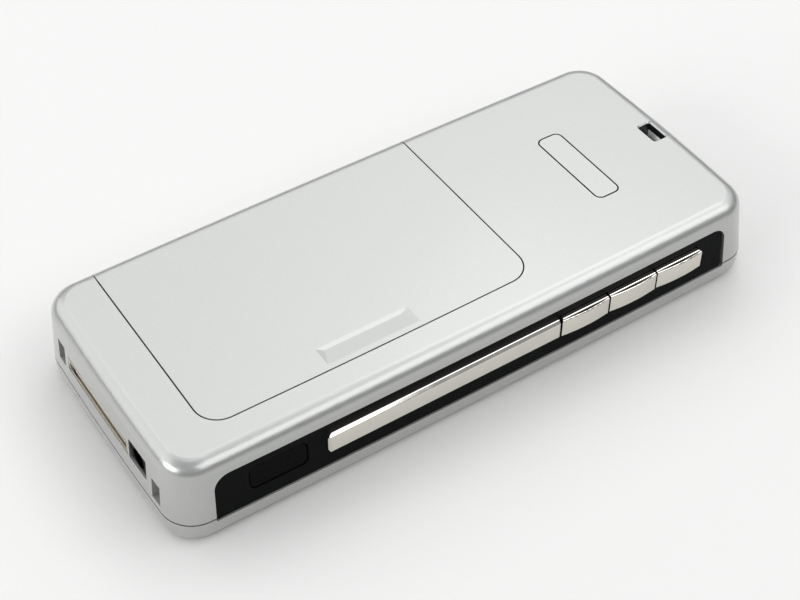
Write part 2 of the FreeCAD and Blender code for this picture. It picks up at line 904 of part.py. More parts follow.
def infrared_window():
    depth = panel_recess + window_recess
    back = panel_recess + panel_thickness
    body = cover_skin(depth, back, seam_height, panel_top).common(window_prism(0, -phone_width, 0))
    flange = cover_skin(back, back + window_flange_thickness, seam_height, panel_top)
    flange = flange.common(window_prism(window_flange, -phone_width, 0))
    return joined([body, flange])


def peg_places():
    return [bar_left + peg_left_margin + index * peg_pitch for index in range(peg_count)]


def band_surface_y(x):
    """Where the panel's face lies at the middle height of the band."""
    return (near_side + panel_recess + wall_draft * (band_middle - seam_height)
            + side_bow * (x / high_end) ** 2)


def band_block(left, right, front, back, chamfer):
    """Block of the band's height with a softened bevel at its upper front and a small one below."""
    points = [vec(left, back, band_bottom), vec(left, front + band_bevel, band_bottom),
              vec(left, front, band_bottom + band_bevel), vec(left, front, band_top - chamfer),
              vec(left, front + chamfer, band_top), vec(left, back, band_top),
              vec(left, back, band_bottom)]
    block = Part.Face(Part.makePolygon(points)).extrude(ALONG * (right - left))
    bevel_edges = edges_at(block, "z", band_top - chamfer) + edges_at(block, "y", front + chamfer)
    return block.makeFillet(band_softening, bevel_edges)


def side_trim_bar():
    """Straight chromed bar with a rounded and bevelled free end, and pegs through the panel."""
    face_y = band_surface_y(0)
    front = face_y - bar_protrusion
    back = face_y + panel_thickness / 2
    bar = band_block(bar_left, bar_right, front, back, bar_chamfer)
    bar = bar.common(rounded_box(bar_left, bar_right + bar_end_radius, front, back, band_bottom, band_top,
                                 bar_end_radius, ACROSS))
    z = band_bottom
    outline_points = [vec(bar_left, back, z), vec(bar_left, front + bar_end_bevel, z),
                      vec(bar_left + bar_end_bevel, front, z), vec(bar_right, front, z),
                      vec(bar_right, back, z), vec(bar_left, back, z)]
    bar = bar.common(Part.Face(Part.makePolygon(outline_points)).extrude(UP * band_height))
    bar = bar.cut(casing_block(panel_recess, seam_height, panel_top, True))
    pegs = []
    for x in peg_places():
        pegs.append(rod(x, face_y - bar_protrusion / 2, band_middle, peg_radius,
                        bar_protrusion / 2 + panel_thickness + peg_stand, ACROSS))
    return joined([bar] + pegs)


def side_key_left(index):
    return keys_left + index * (side_key_length + side_key_gap)


def key_crown(left, right, front):
    """Layer on a side key's front that swells out towards the middle of its length."""
    middle = (left + right) / 2
    root = front + crown_root
    z = band_bottom + crown_inset
    edges = [
        Part.LineSegment(vec(left, root, z), vec(left, front, z)).toShape(),
        Part.Arc(vec(left, front, z), vec(middle, front - crown_height, z), vec(right, front, z)).toShape(),
        Part.LineSegment(vec(right, front, z), vec(right, root, z)).toShape(),
        Part.LineSegment(vec(right, root, z), vec(left, root, z)).toShape(),
    ]
    crown = Part.Face(Part.Wire(edges)).extrude(UP * (band_height - 2 * crown_inset))
    arcs = [edge for edge in crown.Edges if edge.Curve.TypeId == "Part::GeomCircle"]
    return crown.makeFillet(crown_edge, arcs)


def side_key(index):
    """Chromed key with a swelling front, rounded at the row's outer ends, with a flange behind the panel."""
    left = side_key_left(index)
    right = left + side_key_length
    front = band_surface_y((left + right) / 2) - side_key_protrusion
    back = side_flange_y + side_flange_thickness
    cap = joined([band_block(left, right, front, back, side_key_chamfer), key_crown(left, right, front)])
    row = rounded_box(keys_left, keys_right, front - crown_height - beyond, back, band_bottom, band_top,
                      band_corner, ACROSS)
    flange_left = left if index else left - side_flange
    flange_right = right if index < 2 else right + side_flange
    flange = box(flange_left, flange_right, side_flange_y, back, band_bottom - side_flange,
                 band_top + side_flange)
    return joined([cap.common(row), flange])


def side_switches():
    """Flex strip on the chassis rail with one switch behind each side key."""
    strip_y = deck_near - flex_thickness
    centres = [side_key_left(index) + side_key_length / 2 for index in range(3)]
    half = switch_size / 2
    pieces = [box(centres[0] - half, centres[-1] + half, strip_y, deck_near, band_bottom, band_top)]
    front = side_plunger_y + switch_stroke
    for x in centres:
        pieces.append(box(x - half, x + half, front, strip_y, band_middle - switch_height / 2,
                          band_middle + switch_height / 2))
        pieces.append(rod(x, side_plunger_y, band_middle, plunger_radius,
                          switch_stroke + plunger_root, ACROSS))
    return joined(pieces)


# Power key and its switch

def power_key():
    face = power_wall_x + power_key_protrusion
    half_y = power_key_length / 2
    half_z = power_key_height / 2
    cap = rounded_box(power_flange_back, face, power_key_y - half_y, power_key_y + half_y,
                      power_key_z - half_z, power_key_z + half_z, power_key_radius, ALONG)
    cap = cap.makeFillet(key_edge, edges_at(cap, "x", face))
    flange = box(power_flange_back, power_flange_front, power_key_y - half_y - flange_width,
                 power_key_y + half_y + flange_width, power_key_z - half_z - flange_width,
                 power_key_z + half_z + flange_width)
    return joined([cap, flange])


def power_switch():
    """Switch on a riser that stands on the main board."""
    body_front = power_flange_back - side_key_travel - switch_gap - switch_stroke
    body_back = body_front - power_riser
    half = switch_size / 2
    riser = box(body_back - power_riser, body_back, power_key_y - half, power_key_y + half, board_top,
                power_key_z + half)
    body = box(body_back, body_front, power_key_y - half, power_key_y + half,
               power_key_z - switch_height / 2, power_key_z + switch_height / 2)
    plunger = rod(body_front - plunger_root, power_key_y, power_key_z, plunger_radius,
                  switch_stroke + plunger_root, ALONG)
    return joined([riser, body, plunger])


# Connector end pieces

def connector_shell():
    """Metal housing on the board whose nose reaches into the recess of the end wall."""
    half = connector_length / 2 - connector_shell_gap
    low_y = connector_centre_y - half
    high_y = connector_centre_y + half
    nose_low = connector_bottom + connector_shell_gap
    nose_high = connector_top - connector_shell_gap
    back_x = connector_nose_x + connector_depth
    shell = joined([box(connector_nose_x, end_body_x, low_y, high_y, nose_low, nose_high),
                    box(end_body_x, back_x, low_y, high_y, board_top, nose_high)])
    wall = connector_shell_wall
    cavity = box(connector_nose_x - beyond, connector_root_x, low_y + wall, high_y - wall,
                 nose_low + wall, nose_high - wall)
    return shell.cut(cavity)


def connector_insert():
    """Insulating tongue in the shell with a row of contacts."""
    wall = connector_shell_gap + connector_shell_wall
    half = connector_length / 2 - wall - tongue_margin
    middle_z = (connector_bottom + connector_top) / 2
    front_x = connector_nose_x + tongue_margin
    tongue_top = middle_z + tongue_thickness / 2
    pieces = [box(front_x, connector_root_x, connector_centre_y - half, connector_centre_y + half,
                  middle_z - tongue_thickness / 2, tongue_top)]
    for index in range(contact_count):
        y = connector_centre_y + (index - (contact_count - 1) / 2) * contact_pitch
        pieces.append(box(front_x + tongue_margin, connector_root_x, y - contact_width / 2,
                          y + contact_width / 2, tongue_top, tongue_top + contact_height))
    return joined(pieces)


def charger_jack():
    low_y = jack_centre_y - jack_width / 2 + jack_gap
    high_y = jack_centre_y + jack_width / 2 - jack_gap
    low_z = jack_centre_z - jack_height / 2 + jack_gap
    high_z = jack_centre_z + jack_height / 2 - jack_gap
    jack = joined([box(jack_nose_x, end_body_x, low_y, high_y, low_z, high_z),
                   box(end_body_x, jack_nose_x + jack_depth, low_y, high_y, board_top, high_z)])
    return jack.cut(rod(jack_nose_x, jack_centre_y, jack_centre_z, jack_bore_radius, jack_bore_depth, ALONG))


def microphone():
    bottom = front_panel + microphone_gap
    return rod(microphone_x, microphone_y, bottom, microphone_radius, board_bottom - bottom)


# Front keys

def number_place(index):
    return number_first_x - (index // 3) * number_pitch_x, (index % 3 - 1) * number_pitch_y


def function_place(index):
    side = -1 if index < 3 else 1
    return function_centre_x + (1 - index % 3) * function_pitch_x, side * function_y


def front_key(place, size_x, size_y):
    """Key cap that passes through the front panel, with a flange and a post behind it."""
    x, y = place
    cap = plate(x, y, size_x, size_y, key_face, flange_back, key_radius)
    cap = cap.makeFillet(key_edge, edges_at(cap, "z", key_face))
    flange = plate(x, y, size_x + 2 * flange_width, size_y + 2 * flange_width, flange_front,
                   flange_back, key_radius + flange_width)
    post = rod(x, y, flange_back, post_radius, post_tip - flange_back)
    return joined([cap, flange, post])


def key_holes():
    holes = []
    for index in range(len(number_names)):
        x, y = number_place(index)
        holes.append(plate(x, y, number_size_x + 2 * key_clearance, number_size_y + 2 * key_clearance,
                           -beyond, front_panel + beyond, key_radius + key_clearance))
    for index in range(len(function_names)):
        x, y = function_place(index)
        holes.append(plate(x, y, function_size_x + 2 * key_clearance,
                           function_size_y + 2 * key_clearance, -beyond, front_panel + beyond,
                           key_radius + key_clearance))
    size = ring_size + 2 * key_clearance
    holes.append(plate(function_centre_x, 0, size, size, -beyond, front_panel + beyond,
                       ring_radius + key_clearance))
    return holes


def ring_post_places():
    steps = ((1, 0), (-1, 0), (0, 1), (0, -1))
    return [(function_centre_x + a * ring_post_distance, b * ring_post_distance) for a, b in steps]


def navigation_ring():
    """Square ring with rounded corners that tilts, with four posts over its snap domes."""
    back = ring_flange_back
    ring = plate(function_centre_x, 0, ring_size, ring_size, key_face, back, ring_radius)
    ring = ring.makeFillet(key_edge, edges_at(ring, "z", key_face))
    flange = plate(function_centre_x, 0, ring_size + 2 * ring_flange, ring_size + 2 * ring_flange,
                   ring_flange_front, back, ring_radius + ring_flange)
    posts = [rod(x, y, back, ring_post_radius, post_tip - back) for x, y in ring_post_places()]
    hole = rod(function_centre_x, 0, 0, ring_hole, post_tip)
    return joined([ring, flange] + posts).cut(hole)


def select_key():
    """Round key in the ring, with its flange behind the ring."""
    front = ring_flange_back + select_flange_gap
    back = front + select_flange_thickness
    stem_radius = ring_hole - select_clearance
    stem = rod(function_centre_x, 0, key_face, stem_radius, back - key_face)
    stem = stem.makeFillet(key_edge, edges_at(stem, "z", key_face))
    flange = rod(function_centre_x, 0, front, select_flange_radius, select_flange_thickness)
    tip = rod(function_centre_x, 0, back, post_radius, dome_top - select_travel - switch_gap - back)
    return joined([stem, flange, tip])


def dome_places():
    places = [number_place(index) for index in range(len(number_names))]
    places += [function_place(index) for index in range(len(function_names))]
    return places + ring_post_places() + [(function_centre_x, 0)]


def keymat():
    """Silicone sheet behind the keys, with a hole for each post and a window for the ring."""
    sheet = box(keymat_low_x, keymat_high_x, -keymat_half_width, keymat_half_width, keymat_bottom,
                keymat_top)
    places = [number_place(index) for index in range(len(number_names))]
    places += [function_place(index) for index in range(len(function_names))]
    cuts = [rod(x, y, keymat_bottom - beyond, post_radius + keymat_hole_gap,
                keymat_thickness + 2 * beyond) for x, y in places]
    size = ring_size + 2 * ring_flange + 2 * keymat_hole_gap
    cuts.append(plate(function_centre_x, 0, size, size, keymat_bottom - beyond, keymat_top + beyond,
                      ring_radius + keymat_hole_gap))
    return sheet.cut(cuts)


def dome_sheet():
    """Film on the board that carries a snap dome under each post."""
    pieces = [box(keymat_low_x + rib_inset, keymat_high_x - rib_inset, -keymat_half_width + rib_inset,
                  keymat_half_width - rib_inset, film_bottom, board_bottom)]
    for x, y in dome_places():
        pieces.append(Part.makeCone(dome_top_radius, dome_radius, dome_height, vec(x, y, dome_top), UP))
    return joined(pieces)


# Front frame, display and earpiece

def keymat_rib():
    """Low wall round the key field that the keymat rests on."""
    outer = box(keymat_low_x - rib_border, keymat_high_x + rib_border, -keymat_half_width - rib_border,
                keymat_half_width + rib_border, front_panel - fuse_depth, keymat_bottom)
    inner = box(keymat_low_x + rib_inset, keymat_high_x - rib_inset, -keymat_half_width + rib_inset,
                keymat_half_width - rib_inset, front_panel - beyond, keymat_bottom + beyond)
    return outer.cut(inner)


def glass_plate(grow, z_low, z_high):
    return plate((glass_low_x + glass_high_x) / 2, 0, glass_length + 2 * grow, glass_width + 2 * grow,
                 z_low, z_high, glass_radius + grow)


def frame_lip():
    """Rim on the inside of the frame's wall that stands up behind the rear cover's wall."""
    lip_out = cover_wall + lip_gap + earpiece_draft * lip_height
    low = seam_height - lip_height
    high = seam_height + lip_height
    root = casing_block(frame_wall - fuse_depth, low, seam_height)
    rim = casing_block(lip_out, low, high)
    lip = root.fuse(rim).cut(casing_block(lip_out + lip_thickness, low - beyond, high + beyond))
    return lip.cut(panel_prism(lip_panel_gap, seam_height, wall_cut))


def panel_rebate():
    """Step in the frame's upper edge that takes the side panel's tongue."""
    low = seam_height - panel_drop - panel_gap
    block = panel_prism(panel_gap, low, wall_cut)
    return outer_layer(block, panel_recess + panel_tongue + panel_gap, low, phone_thickness)


def front_frame():
    outer = casing_block(0, 0, seam_height, False, 0.0, front_edge_radius)
    inner = casing_block(frame_wall, front_panel, seam_height + beyond)
    frame = outer.cut(inner)
    seat = glass_plate(seat_border, front_panel / 2, seat_inside).common(
        casing_block(frame_wall / 2, front_panel / 2, seat_inside))
    bosses = []
    pilots = []
    for x, y, head_seat in screw_places()[1]:
        foot = front_panel - fuse_depth
        bosses.append(rod(x, y, foot, boss_radius, board_bottom - foot))
        tip = head_seat - screw_length - screw_clearance
        pilots.append(rod(x, y, tip, screw_radius + screw_clearance, board_bottom + beyond - tip))
    frame = joined([frame, frame_lip(), seat, keymat_rib()] + bosses)
    cuts = key_holes() + pilots + [panel_rebate()]
    cuts.append(glass_plate(glass_gap, -beyond, glass_seat))
    cuts.append(box(view_low_x, view_high_x, -view_width / 2, view_width / 2, 0, board_top))
    cuts.append(box(earpiece_x - earpiece_port_width / 2, earpiece_x + earpiece_port_width / 2,
                    -earpiece_port / 2, earpiece_port / 2, 0, board_top))
    cuts.append(rod(microphone_x, microphone_y, -beyond, sound_hole_radius, front_panel + 2 * beyond))
    return frame.cut(cuts)


def display_glass():
    glass = glass_plate(0, glass_face, glass_seat)
    glass = glass.makeChamfer(glass_bevel, edges_at(glass, "z", glass_face))
    slot = plate(earpiece_x, 0, earpiece_slot_width, earpiece_slot, -beyond, seat_inside,
                 earpiece_slot_width * slot_rounding)
    return glass.cut(slot)


def earpiece_grille():
    width = earpiece_slot_width - 2 * grille_gap
    grille = plate(earpiece_x, 0, width, earpiece_slot - 2 * grille_gap, glass_face + grille_recess,
                   glass_seat, width * slot_rounding)
    holes = []
    for index in range(grille_hole_count):
        y = (index - (grille_hole_count - 1) / 2) * grille_hole_pitch
        holes.append(rod(earpiece_x, y, 0, grille_hole_radius, glass_seat + beyond))
    return grille.cut(holes)


def earpiece():
    return plate(earpiece_x, 0, earpiece_width, earpiece_length, seat_inside, film_bottom,
                 earpiece_radius)


def display_gasket():
    """Foam frame between the window seat and the display module."""
    outer = box(view_low_x - gasket_width, view_high_x + gasket_width,
                -view_width / 2 - gasket_width, view_width / 2 + gasket_width, seat_inside,
                seat_inside + gasket_thickness)
    inner = box(view_low_x, view_high_x, -view_width / 2, view_width / 2, 0, board_top)
    return outer.cut(inner)


def display_module():
    low_z = seat_inside + gasket_thickness
    margin = module_margin
    body = rounded_box(view_low_x - margin, view_high_x + margin, -view_width / 2 - margin,
                       view_width / 2 + margin, low_z, film_bottom, module_corner)
    recess = box(view_low_x + margin, view_high_x - margin, -view_width / 2 + margin,
                 view_width / 2 - margin, low_z - beyond, low_z + module_recess)
    return body.cut(recess)


# Main board and what stands on it

def main_board():
    board = casing_block(board_inset, board_bottom, board_top)
    holes = [rod(x, y, board_bottom - beyond, board_hole_radius, board_thickness + 2 * beyond)
             for x, y, seat in screw_places()[1]]
    return board.cut(holes)


def shield_cans():
    """Two stamped cans, open below, on the board."""
    cans = []
    for low_y in (-can_gap / 2 - can_width, can_gap / 2):
        outer = box(can_low_x, can_high_x, low_y, low_y + can_width, board_top, can_top)
        outer = outer.makeFillet(can_corner, edges_at(outer, "z", can_top))
        inner = box(can_low_x + can_wall, can_high_x - can_wall, low_y + can_wall,
                    low_y + can_width - can_wall, board_top - beyond, can_top - can_wall)
        cans.append(outer.cut(inner))
    return Part.makeCompound(cans)


def plate_block(centre_x, size_x, size_y, grow, z_low, z_high):
    """Block under the battery's middle line, larger all round than a card by grow."""
    half_x = size_x / 2 + grow
    half_y = size_y / 2 + grow
    return box(centre_x - half_x, centre_x + half_x, battery_middle_y - half_y,
               battery_middle_y + half_y, z_low, z_high)


def holder(centre_x, size_x, size_y, thickness):
    """Block from the board up through the bay floor, with a pocket that takes a card."""
    outer = plate_block(centre_x, size_x, size_y, holder_wall, board_top, holder_top)
    floor = holder_top - thickness - card_slack
    return outer.cut(plate_block(centre_x, size_x, size_y, card_gap, floor, holder_top + beyond))


def card(centre_x, size_x, size_y, thickness):
    """Flat card with one cut corner."""
    floor = holder_top - thickness - card_slack
    blank = plate_block(centre_x, size_x, size_y, 0, floor, floor + thickness)
    corner = [edge for edge in edges_along(blank, UP)
              if edge.BoundBox.XMin > centre_x and edge.BoundBox.YMin > battery_middle_y]
    return blank.makeChamfer(card_corner, corner)


def sim_holder():
    return holder(sim_centre_x, sim_length, sim_width, sim_thickness)


def sim_card():
    return card(sim_centre_x, sim_length, sim_width, sim_thickness)


def memory_reader():
    return holder(memory_centre_x, memory_width, memory_length, memory_thickness)


def memory_card():
    return card(memory_centre_x, memory_width, memory_length, memory_thickness)


# Chassis and battery

def holder_window(centre_x, size_x, size_y):
    return plate_block(centre_x, size_x, size_y, holder_wall + holder_gap, deck_bottom - beyond,
                       deck_top + beyond)


def chassis():
    """Plate over the board with legs, the battery bay, screw columns and the rail for side switches."""
    wall = chassis_wall
    deck_split = bay_high_x + wall
    legs = box(deck_left, deck_right, deck_near, deck_far, board_top, deck_bottom)
    legs = legs.cut(box(deck_left + wall, deck_right - wall, deck_near + wall, deck_far - wall,
                        board_top - beyond, deck_bottom + beyond))
    bay = box(bay_low_x - wall, bay_high_x + wall, bay_low_y - wall, bay_high_y + wall, deck_bottom, bay_top)
    bay = bay.cut(box(bay_low_x, bay_high_x, bay_low_y, bay_high_y, deck_top, bay_top + beyond))
    pieces = [
        legs,
        box(deck_left, deck_split, deck_near, deck_far_wide, deck_bottom, deck_top),
        box(deck_split, deck_right, deck_near, deck_far, deck_bottom, deck_top),
        bay,
        box(deck_split, deck_right - wall, deck_near, deck_near + wall, deck_top, rail_top),
    ]
    cover, frame = screw_places()
    for x, y, seat in cover:
        pieces.append(rod(x, y, deck_bottom, column_radius, ledge_bottom - deck_bottom))
    for x, y, seat in frame:
        low_y = deck_far - wall if y > 0 else y - ear_margin
        high_y = y + ear_margin if y > 0 else deck_near + wall
        pieces.append(box(x - ear_half_width, max(x + ear_half_width, deck_left + wall), low_y, high_y,
                          board_top, board_top + ear_thickness))
    cradle = box(vibra_low_x, vibra_high_x, vibra_y - cradle_width / 2, vibra_y + cradle_width / 2,
                 deck_top, deck_top + cradle_rise)
    pieces.append(cradle.cut(rod(vibra_low_x - beyond, vibra_y, vibra_z, vibra_radius,
                                 vibra_length + 2 * beyond, ALONG)))
    frame_shape = joined(pieces)
    cuts = [holder_window(sim_centre_x, sim_length, sim_width),
            holder_window(memory_centre_x, memory_width, memory_length)]
    for x, y, seat in cover:
        low = seat - screw_length - screw_clearance
        cuts.append(rod(x, y, low, screw_radius + screw_clearance, ledge_bottom + beyond - low))
    for x, y, seat in frame:
        cuts.append(rod(x, y, board_top - beyond, screw_radius + screw_pass, ear_thickness + beyond))
        cuts.append(rod(x, y, seat, screw_head_radius + screw_pass, deck_top + beyond - seat))
    return frame_shape.cut(cuts)


def battery():
    pack = box(battery_low_x, battery_high_x, battery_low_y, battery_high_y, deck_top,
               deck_top + battery_thickness)
    return pack.makeFillet(battery_radius, edges_along(pack, ALONG))


def battery_contacts():
    """Block in the bay with three spring fingers that press on the battery's end."""
    block_x = battery_high_x + finger_reach
    half = contact_block_width / 2
    pieces = [box(block_x, block_x + contact_block_length, battery_middle_y - half,
                  battery_middle_y + half, deck_top, deck_top + contact_block_height)]
    for index in (-1, 0, 1):
        y = battery_middle_y + index * finger_pitch
        pieces.append(box(battery_high_x, block_x, y - finger_width / 2, y + finger_width / 2,
                          deck_top + finger_width, deck_top + contact_block_height - finger_width))
    return joined(pieces)


# Antenna, loudspeaker and vibra

def antenna_carrier():
    """Plastic lid on the deck: sound chamber for the loudspeaker and support for the antenna."""
    wall = carrier_wall
    outer = rounded_box(carrier_low_x, carrier_high_x, carrier_low_y, carrier_high_y, deck_top,
                        carrier_top, carrier_corner)
    inner = box(carrier_low_x + wall, carrier_high_x - wall, carrier_low_y + wall, carrier_high_y - wall,
                deck_top - beyond, carrier_top - wall)
    half = slot_count * slot_pitch / 2
    port = box(speaker_x - half, speaker_x + half, carrier_high_y - 2 * wall, carrier_high_y + wall,
               deck_top - beyond, deck_top + speaker_port_height)
    return outer.cut([inner, port])


def antenna():
    """Two stamped plates on the carrier, joined by a neck."""
    low_x = carrier_low_x + antenna_margin
    high_x = carrier_high_x - antenna_margin
    low_y = carrier_low_y + antenna_margin
    high_y = carrier_high_y - antenna_margin
    sheet = box(low_x, high_x, low_y, high_y, carrier_top, carrier_top + antenna_thickness)
    middle = (low_y + high_y) / 2
    slot = box(low_x + antenna_margin, high_x + beyond, middle - antenna_slot / 2,
               middle + antenna_slot / 2, carrier_top - beyond, carrier_top + beyond)
    return sheet.cut(slot)


def loudspeaker():
    body = rod(speaker_x, speaker_y, deck_top, speaker_radius, speaker_height)
    cone = Part.makeCone(speaker_cone_radius, speaker_radius - speaker_rim, speaker_cone_depth,
                         vec(speaker_x, speaker_y, deck_top + speaker_height - speaker_cone_depth), UP)
    return body.cut(cone)


def speaker_mesh():
    """Fine mesh on the inner face of the far wall, behind the slots."""
    half = slot_count * slot_pitch / 2 + mesh_margin
    low_z = slot_z - slot_height / 2 - mesh_margin
    high_z = slot_z + slot_height / 2 + mesh_margin
    skin = cover_skin(cover_wall, cover_wall + mesh_thickness, low_z, high_z)
    return skin.common(box(speaker_x - half, speaker_x + half, 0, phone_width, low_z, high_z))


def vibra_motor():
    can = rod(vibra_low_x, vibra_y, vibra_z, vibra_radius, vibra_length, ALONG)
    return can.cut(rod(vibra_low_x - beyond, vibra_y, vibra_z, shaft_radius + shaft_clearance,
                       beyond + shaft_depth + shaft_room, ALONG))


def vibra_weight():
    """Half-round weight on its shaft, which turns in the motor."""
    weight_high = vibra_low_x - weight_gap
    disc = rod(weight_high - weight_length, vibra_y, vibra_z, weight_radius, weight_length, ALONG)
    clear = weight_radius + beyond
    half = disc.cut(box(weight_high - weight_length - beyond, weight_high + beyond, vibra_y - clear,
                        vibra_y + clear, vibra_z + shaft_radius, vibra_z + clear))
    shaft = rod(weight_high - weight_length, vibra_y, vibra_z, shaft_radius,
                weight_length + weight_gap + shaft_depth, ALONG)
    return joined([half, shaft])


# Every node by name

def all_nodes():
    nodes = {
        "rear_cover": rear_cover(),
        "front_frame": front_frame(),
        "battery_door": battery_door(),
        "badge_plate": badge_plate(),
        "side_panel": side_panel(),
        "infrared_window": infrared_window(),
        "side_trim_bar": side_trim_bar(),
        "side_switches": side_switches(),
        "power_key": power_key(),
        "power_switch": power_switch(),
        "connector_shell": connector_shell(),
        "connector_insert": connector_insert(),
        "charger_jack": charger_jack(),
        "microphone": microphone(),
        "navigation_ring": navigation_ring(),
        "select_key": select_key(),
        "keymat": keymat(),
        "dome_sheet": dome_sheet(),
        "display_glass": display_glass(),
        "display_gasket": display_gasket(),
        "display_module": display_module(),
        "earpiece": earpiece(),
        "earpiece_grille": earpiece_grille(),
        "main_board": main_board(),
        "shield_cans": shield_cans(),
        "sim_holder": sim_holder(),
        "sim_card": sim_card(),
        "memory_reader": memory_reader(),
        "memory_card": memory_card(),
        "chassis": chassis(),
        "battery": battery(),
        "battery_contacts": battery_contacts(),
        "antenna_carrier": antenna_carrier(),
        "antenna": antenna(),
        "loudspeaker": loudspeaker(),
        "speaker_mesh": speaker_mesh(),
        "vibra_motor": vibra_motor(),
        "vibra_weight": vibra_weight(),
        "case_screws": case_screws(),
    }
    for index, name in enumerate(side_key_names):
        nodes[name] = side_key(index)
    for index, name in enumerate(number_names):
        nodes[name] = front_key(number_place(index), number_size_x, number_size_y)
    for index, name in enumerate(function_names):
        nodes[name] = front_key(function_place(index), function_size_x, function_size_y)
    return nodes


os.makedirs("parts", exist_ok=True)
for name, shape in all_nodes().items():
    shape.exportStep("parts/" + name + ".step")
    print(name, "solids", len(shape.Solids), "volume", round(shape.Volume, 2), "valid", shape.isValid())
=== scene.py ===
import math

import bpy
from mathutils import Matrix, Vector


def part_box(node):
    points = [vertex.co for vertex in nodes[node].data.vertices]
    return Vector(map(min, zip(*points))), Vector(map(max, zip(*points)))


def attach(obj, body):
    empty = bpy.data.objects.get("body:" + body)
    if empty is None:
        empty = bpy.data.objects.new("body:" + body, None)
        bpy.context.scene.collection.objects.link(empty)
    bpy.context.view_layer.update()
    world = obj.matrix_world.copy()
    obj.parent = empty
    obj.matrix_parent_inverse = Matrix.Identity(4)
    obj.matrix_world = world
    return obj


# Bar-shaped mobile phone lying face down on a pale card under a light tent.
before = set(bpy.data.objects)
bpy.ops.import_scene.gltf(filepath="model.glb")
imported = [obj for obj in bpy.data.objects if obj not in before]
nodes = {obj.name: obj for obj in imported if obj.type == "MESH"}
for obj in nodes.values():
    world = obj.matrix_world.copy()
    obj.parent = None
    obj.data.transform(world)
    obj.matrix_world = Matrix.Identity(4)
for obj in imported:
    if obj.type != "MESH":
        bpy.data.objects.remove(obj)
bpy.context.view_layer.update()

MM = 0.001

# Legends printed on the keys, in millimetres
INK_RELIEF = 0.03
INK_ROOT = 0.02
INK_DEPTH = INK_RELIEF + INK_ROOT
CAPITAL_SHARE = 0.7
DIGIT_HEIGHT = 3.4
DIGIT_BESIDE = -1.7
STAR_DROP = -0.6
LETTER_HEIGHT = 1.5
LETTER_BESIDE = 2.0
LETTER_DROP = -0.3
CLEAR_SIGN_HEIGHT = 2.6
LINE_LENGTH = 3.4
LINE_WIDTH = 0.5
BAR_END_SHARE = 0.49
DOT_SIZE = 0.8
DOT_OFFSET = 0.7
HANDSET_RADIUS = 1.5
HANDSET_WIDTH = 0.45
HANDSET_SWEEP = math.radians(120)
HANDSET_STEPS = 12
PAD_WIDTH = 1.9 * HANDSET_WIDTH
PAD_LENGTH = 1.5 * HANDSET_WIDTH
PAD_PROUD = 0.01
CALL_LEAN = math.radians(-135)
END_LEAN = 0.0
ARROW_SIZE = 1.5
ARROW_REACH = 5.0
ARROW_ROUNDING = 0.01

# Battery label, in millimetres
LABEL_MARGIN = 3.0
LABEL_THICKNESS = 0.08
LABEL_CORNER = 1.5

# Mouth of the data connector, in millimetres
SHELL_WALL = 0.42
BLOCK_DEPTH = 0.85
BLOCK_WIDTH = 1.3
BLOCK_HEIGHT = 1.76
BLOCK_INSET = 0.02
BLOCK_ROUNDING = 0.1
TONGUE_INSET = 0.2
TONGUE_REACH = 0.72
TONGUE_LOW = 9.1
TONGUE_TOP = 9.72
TONGUE_NEAR = -6.7
TONGUE_FAR = 11.1
TONGUE_ROUNDING = 0.04
SHIELD_THICKNESS = 0.22
SHIELD_SPLIT = -1.1
SHIELD_GAP = 0.4

# Where painted shade starts on the casing, in millimetres
SHADE_REACH = 0.6
DOOR_EDGE = -16.95
DOOR_WRAP = 4.0
DOOR_SEAT_FOOT = 0.5
DOOR_SHADE_BELOW_TOP = 0.12
BADGE_SEAT_DEPTH = 1.0
BADGE_SHADE_BELOW_TOP = 0.24
EYELET_LOW = (51.5, -2.5, 10.0)
EYELET_HIGH = (54.4, 2.5, 16.6)
SEAM_HEIGHT = 4.5
COVER_RIM = 0.03
FRAME_RIM = 0.01

# Places where a finish changes on one piece, in millimetres from its face or edge
# Depth below the badge's face where its painted edge shade starts
BADGE_FACE = 0.005
TONGUE_FACE = 0.05
FINGER_MARGIN = 0.1
FINGER_REACH = 0.24
WINDOW_BORDER = 1.0
BEZEL_WIDTH = 1.6

# What more than one finish shows
SILVER = {"tints": ("#AEAFAD", "#BCBDBA"), "roughness": 0.33, "metallic": 0.62, "coat": 0.6}
NYLON = ("#1B1B1D", "#29292C")
GOLD = ("#D9B25C", "#E8C878")
# Dark colour painted into the seams, the door opening, the badge's seat and the eyelet as painted shade
SEAM_SHADE = "#1E2022"
# Dark colour painted round the badge plate's edge as painted shade
BADGE_EDGE_SHADE = "#1E2022"


# Shader helpers

def colour(hex_code):
    """Linear colour of an sRGB hex code."""
    parts = [int(hex_code[i:i + 2], 16) / 255 for i in (1, 3, 5)]
    linear = [c / 12.92 if c <= 0.04045 else ((c + 0.055) / 1.055) ** 2.4 for c in parts]
    return (*linear, 1.0)


def add_node(tree, kind, inputs=None, **settings):
    """One shader node with its settings. An input that is given as a socket is linked to it."""
    made = tree.nodes.new(kind)
    for name, value in settings.items():
        setattr(made, name, value)
    for name, value in (inputs or {}).items():
        socket = made.inputs[name]
        if isinstance(value, bpy.types.NodeSocket):
            tree.links.new(value, socket)
        else:
            socket.default_value = value
    return made


def per_mm(size):
    """Noise scale whose features are about this many millimetres apart."""
    return 1 / (size * MM)


def new_material(name, **constants):
    """Material with one Principled shader. Returns it with its tree, the shader and the Object place."""
    material = bpy.data.materials.new(name)
    material.use_nodes = True
    tree = material.node_tree
    tree.nodes.clear()
    output = add_node(tree, "ShaderNodeOutputMaterial")
    shader = add_node(tree, "ShaderNodeBsdfPrincipled", constants)
    tree.links.new(shader.outputs["BSDF"], output.inputs["Surface"])
    place = add_node(tree, "ShaderNodeTexCoord").outputs["Object"]
    return material, tree, shader, place


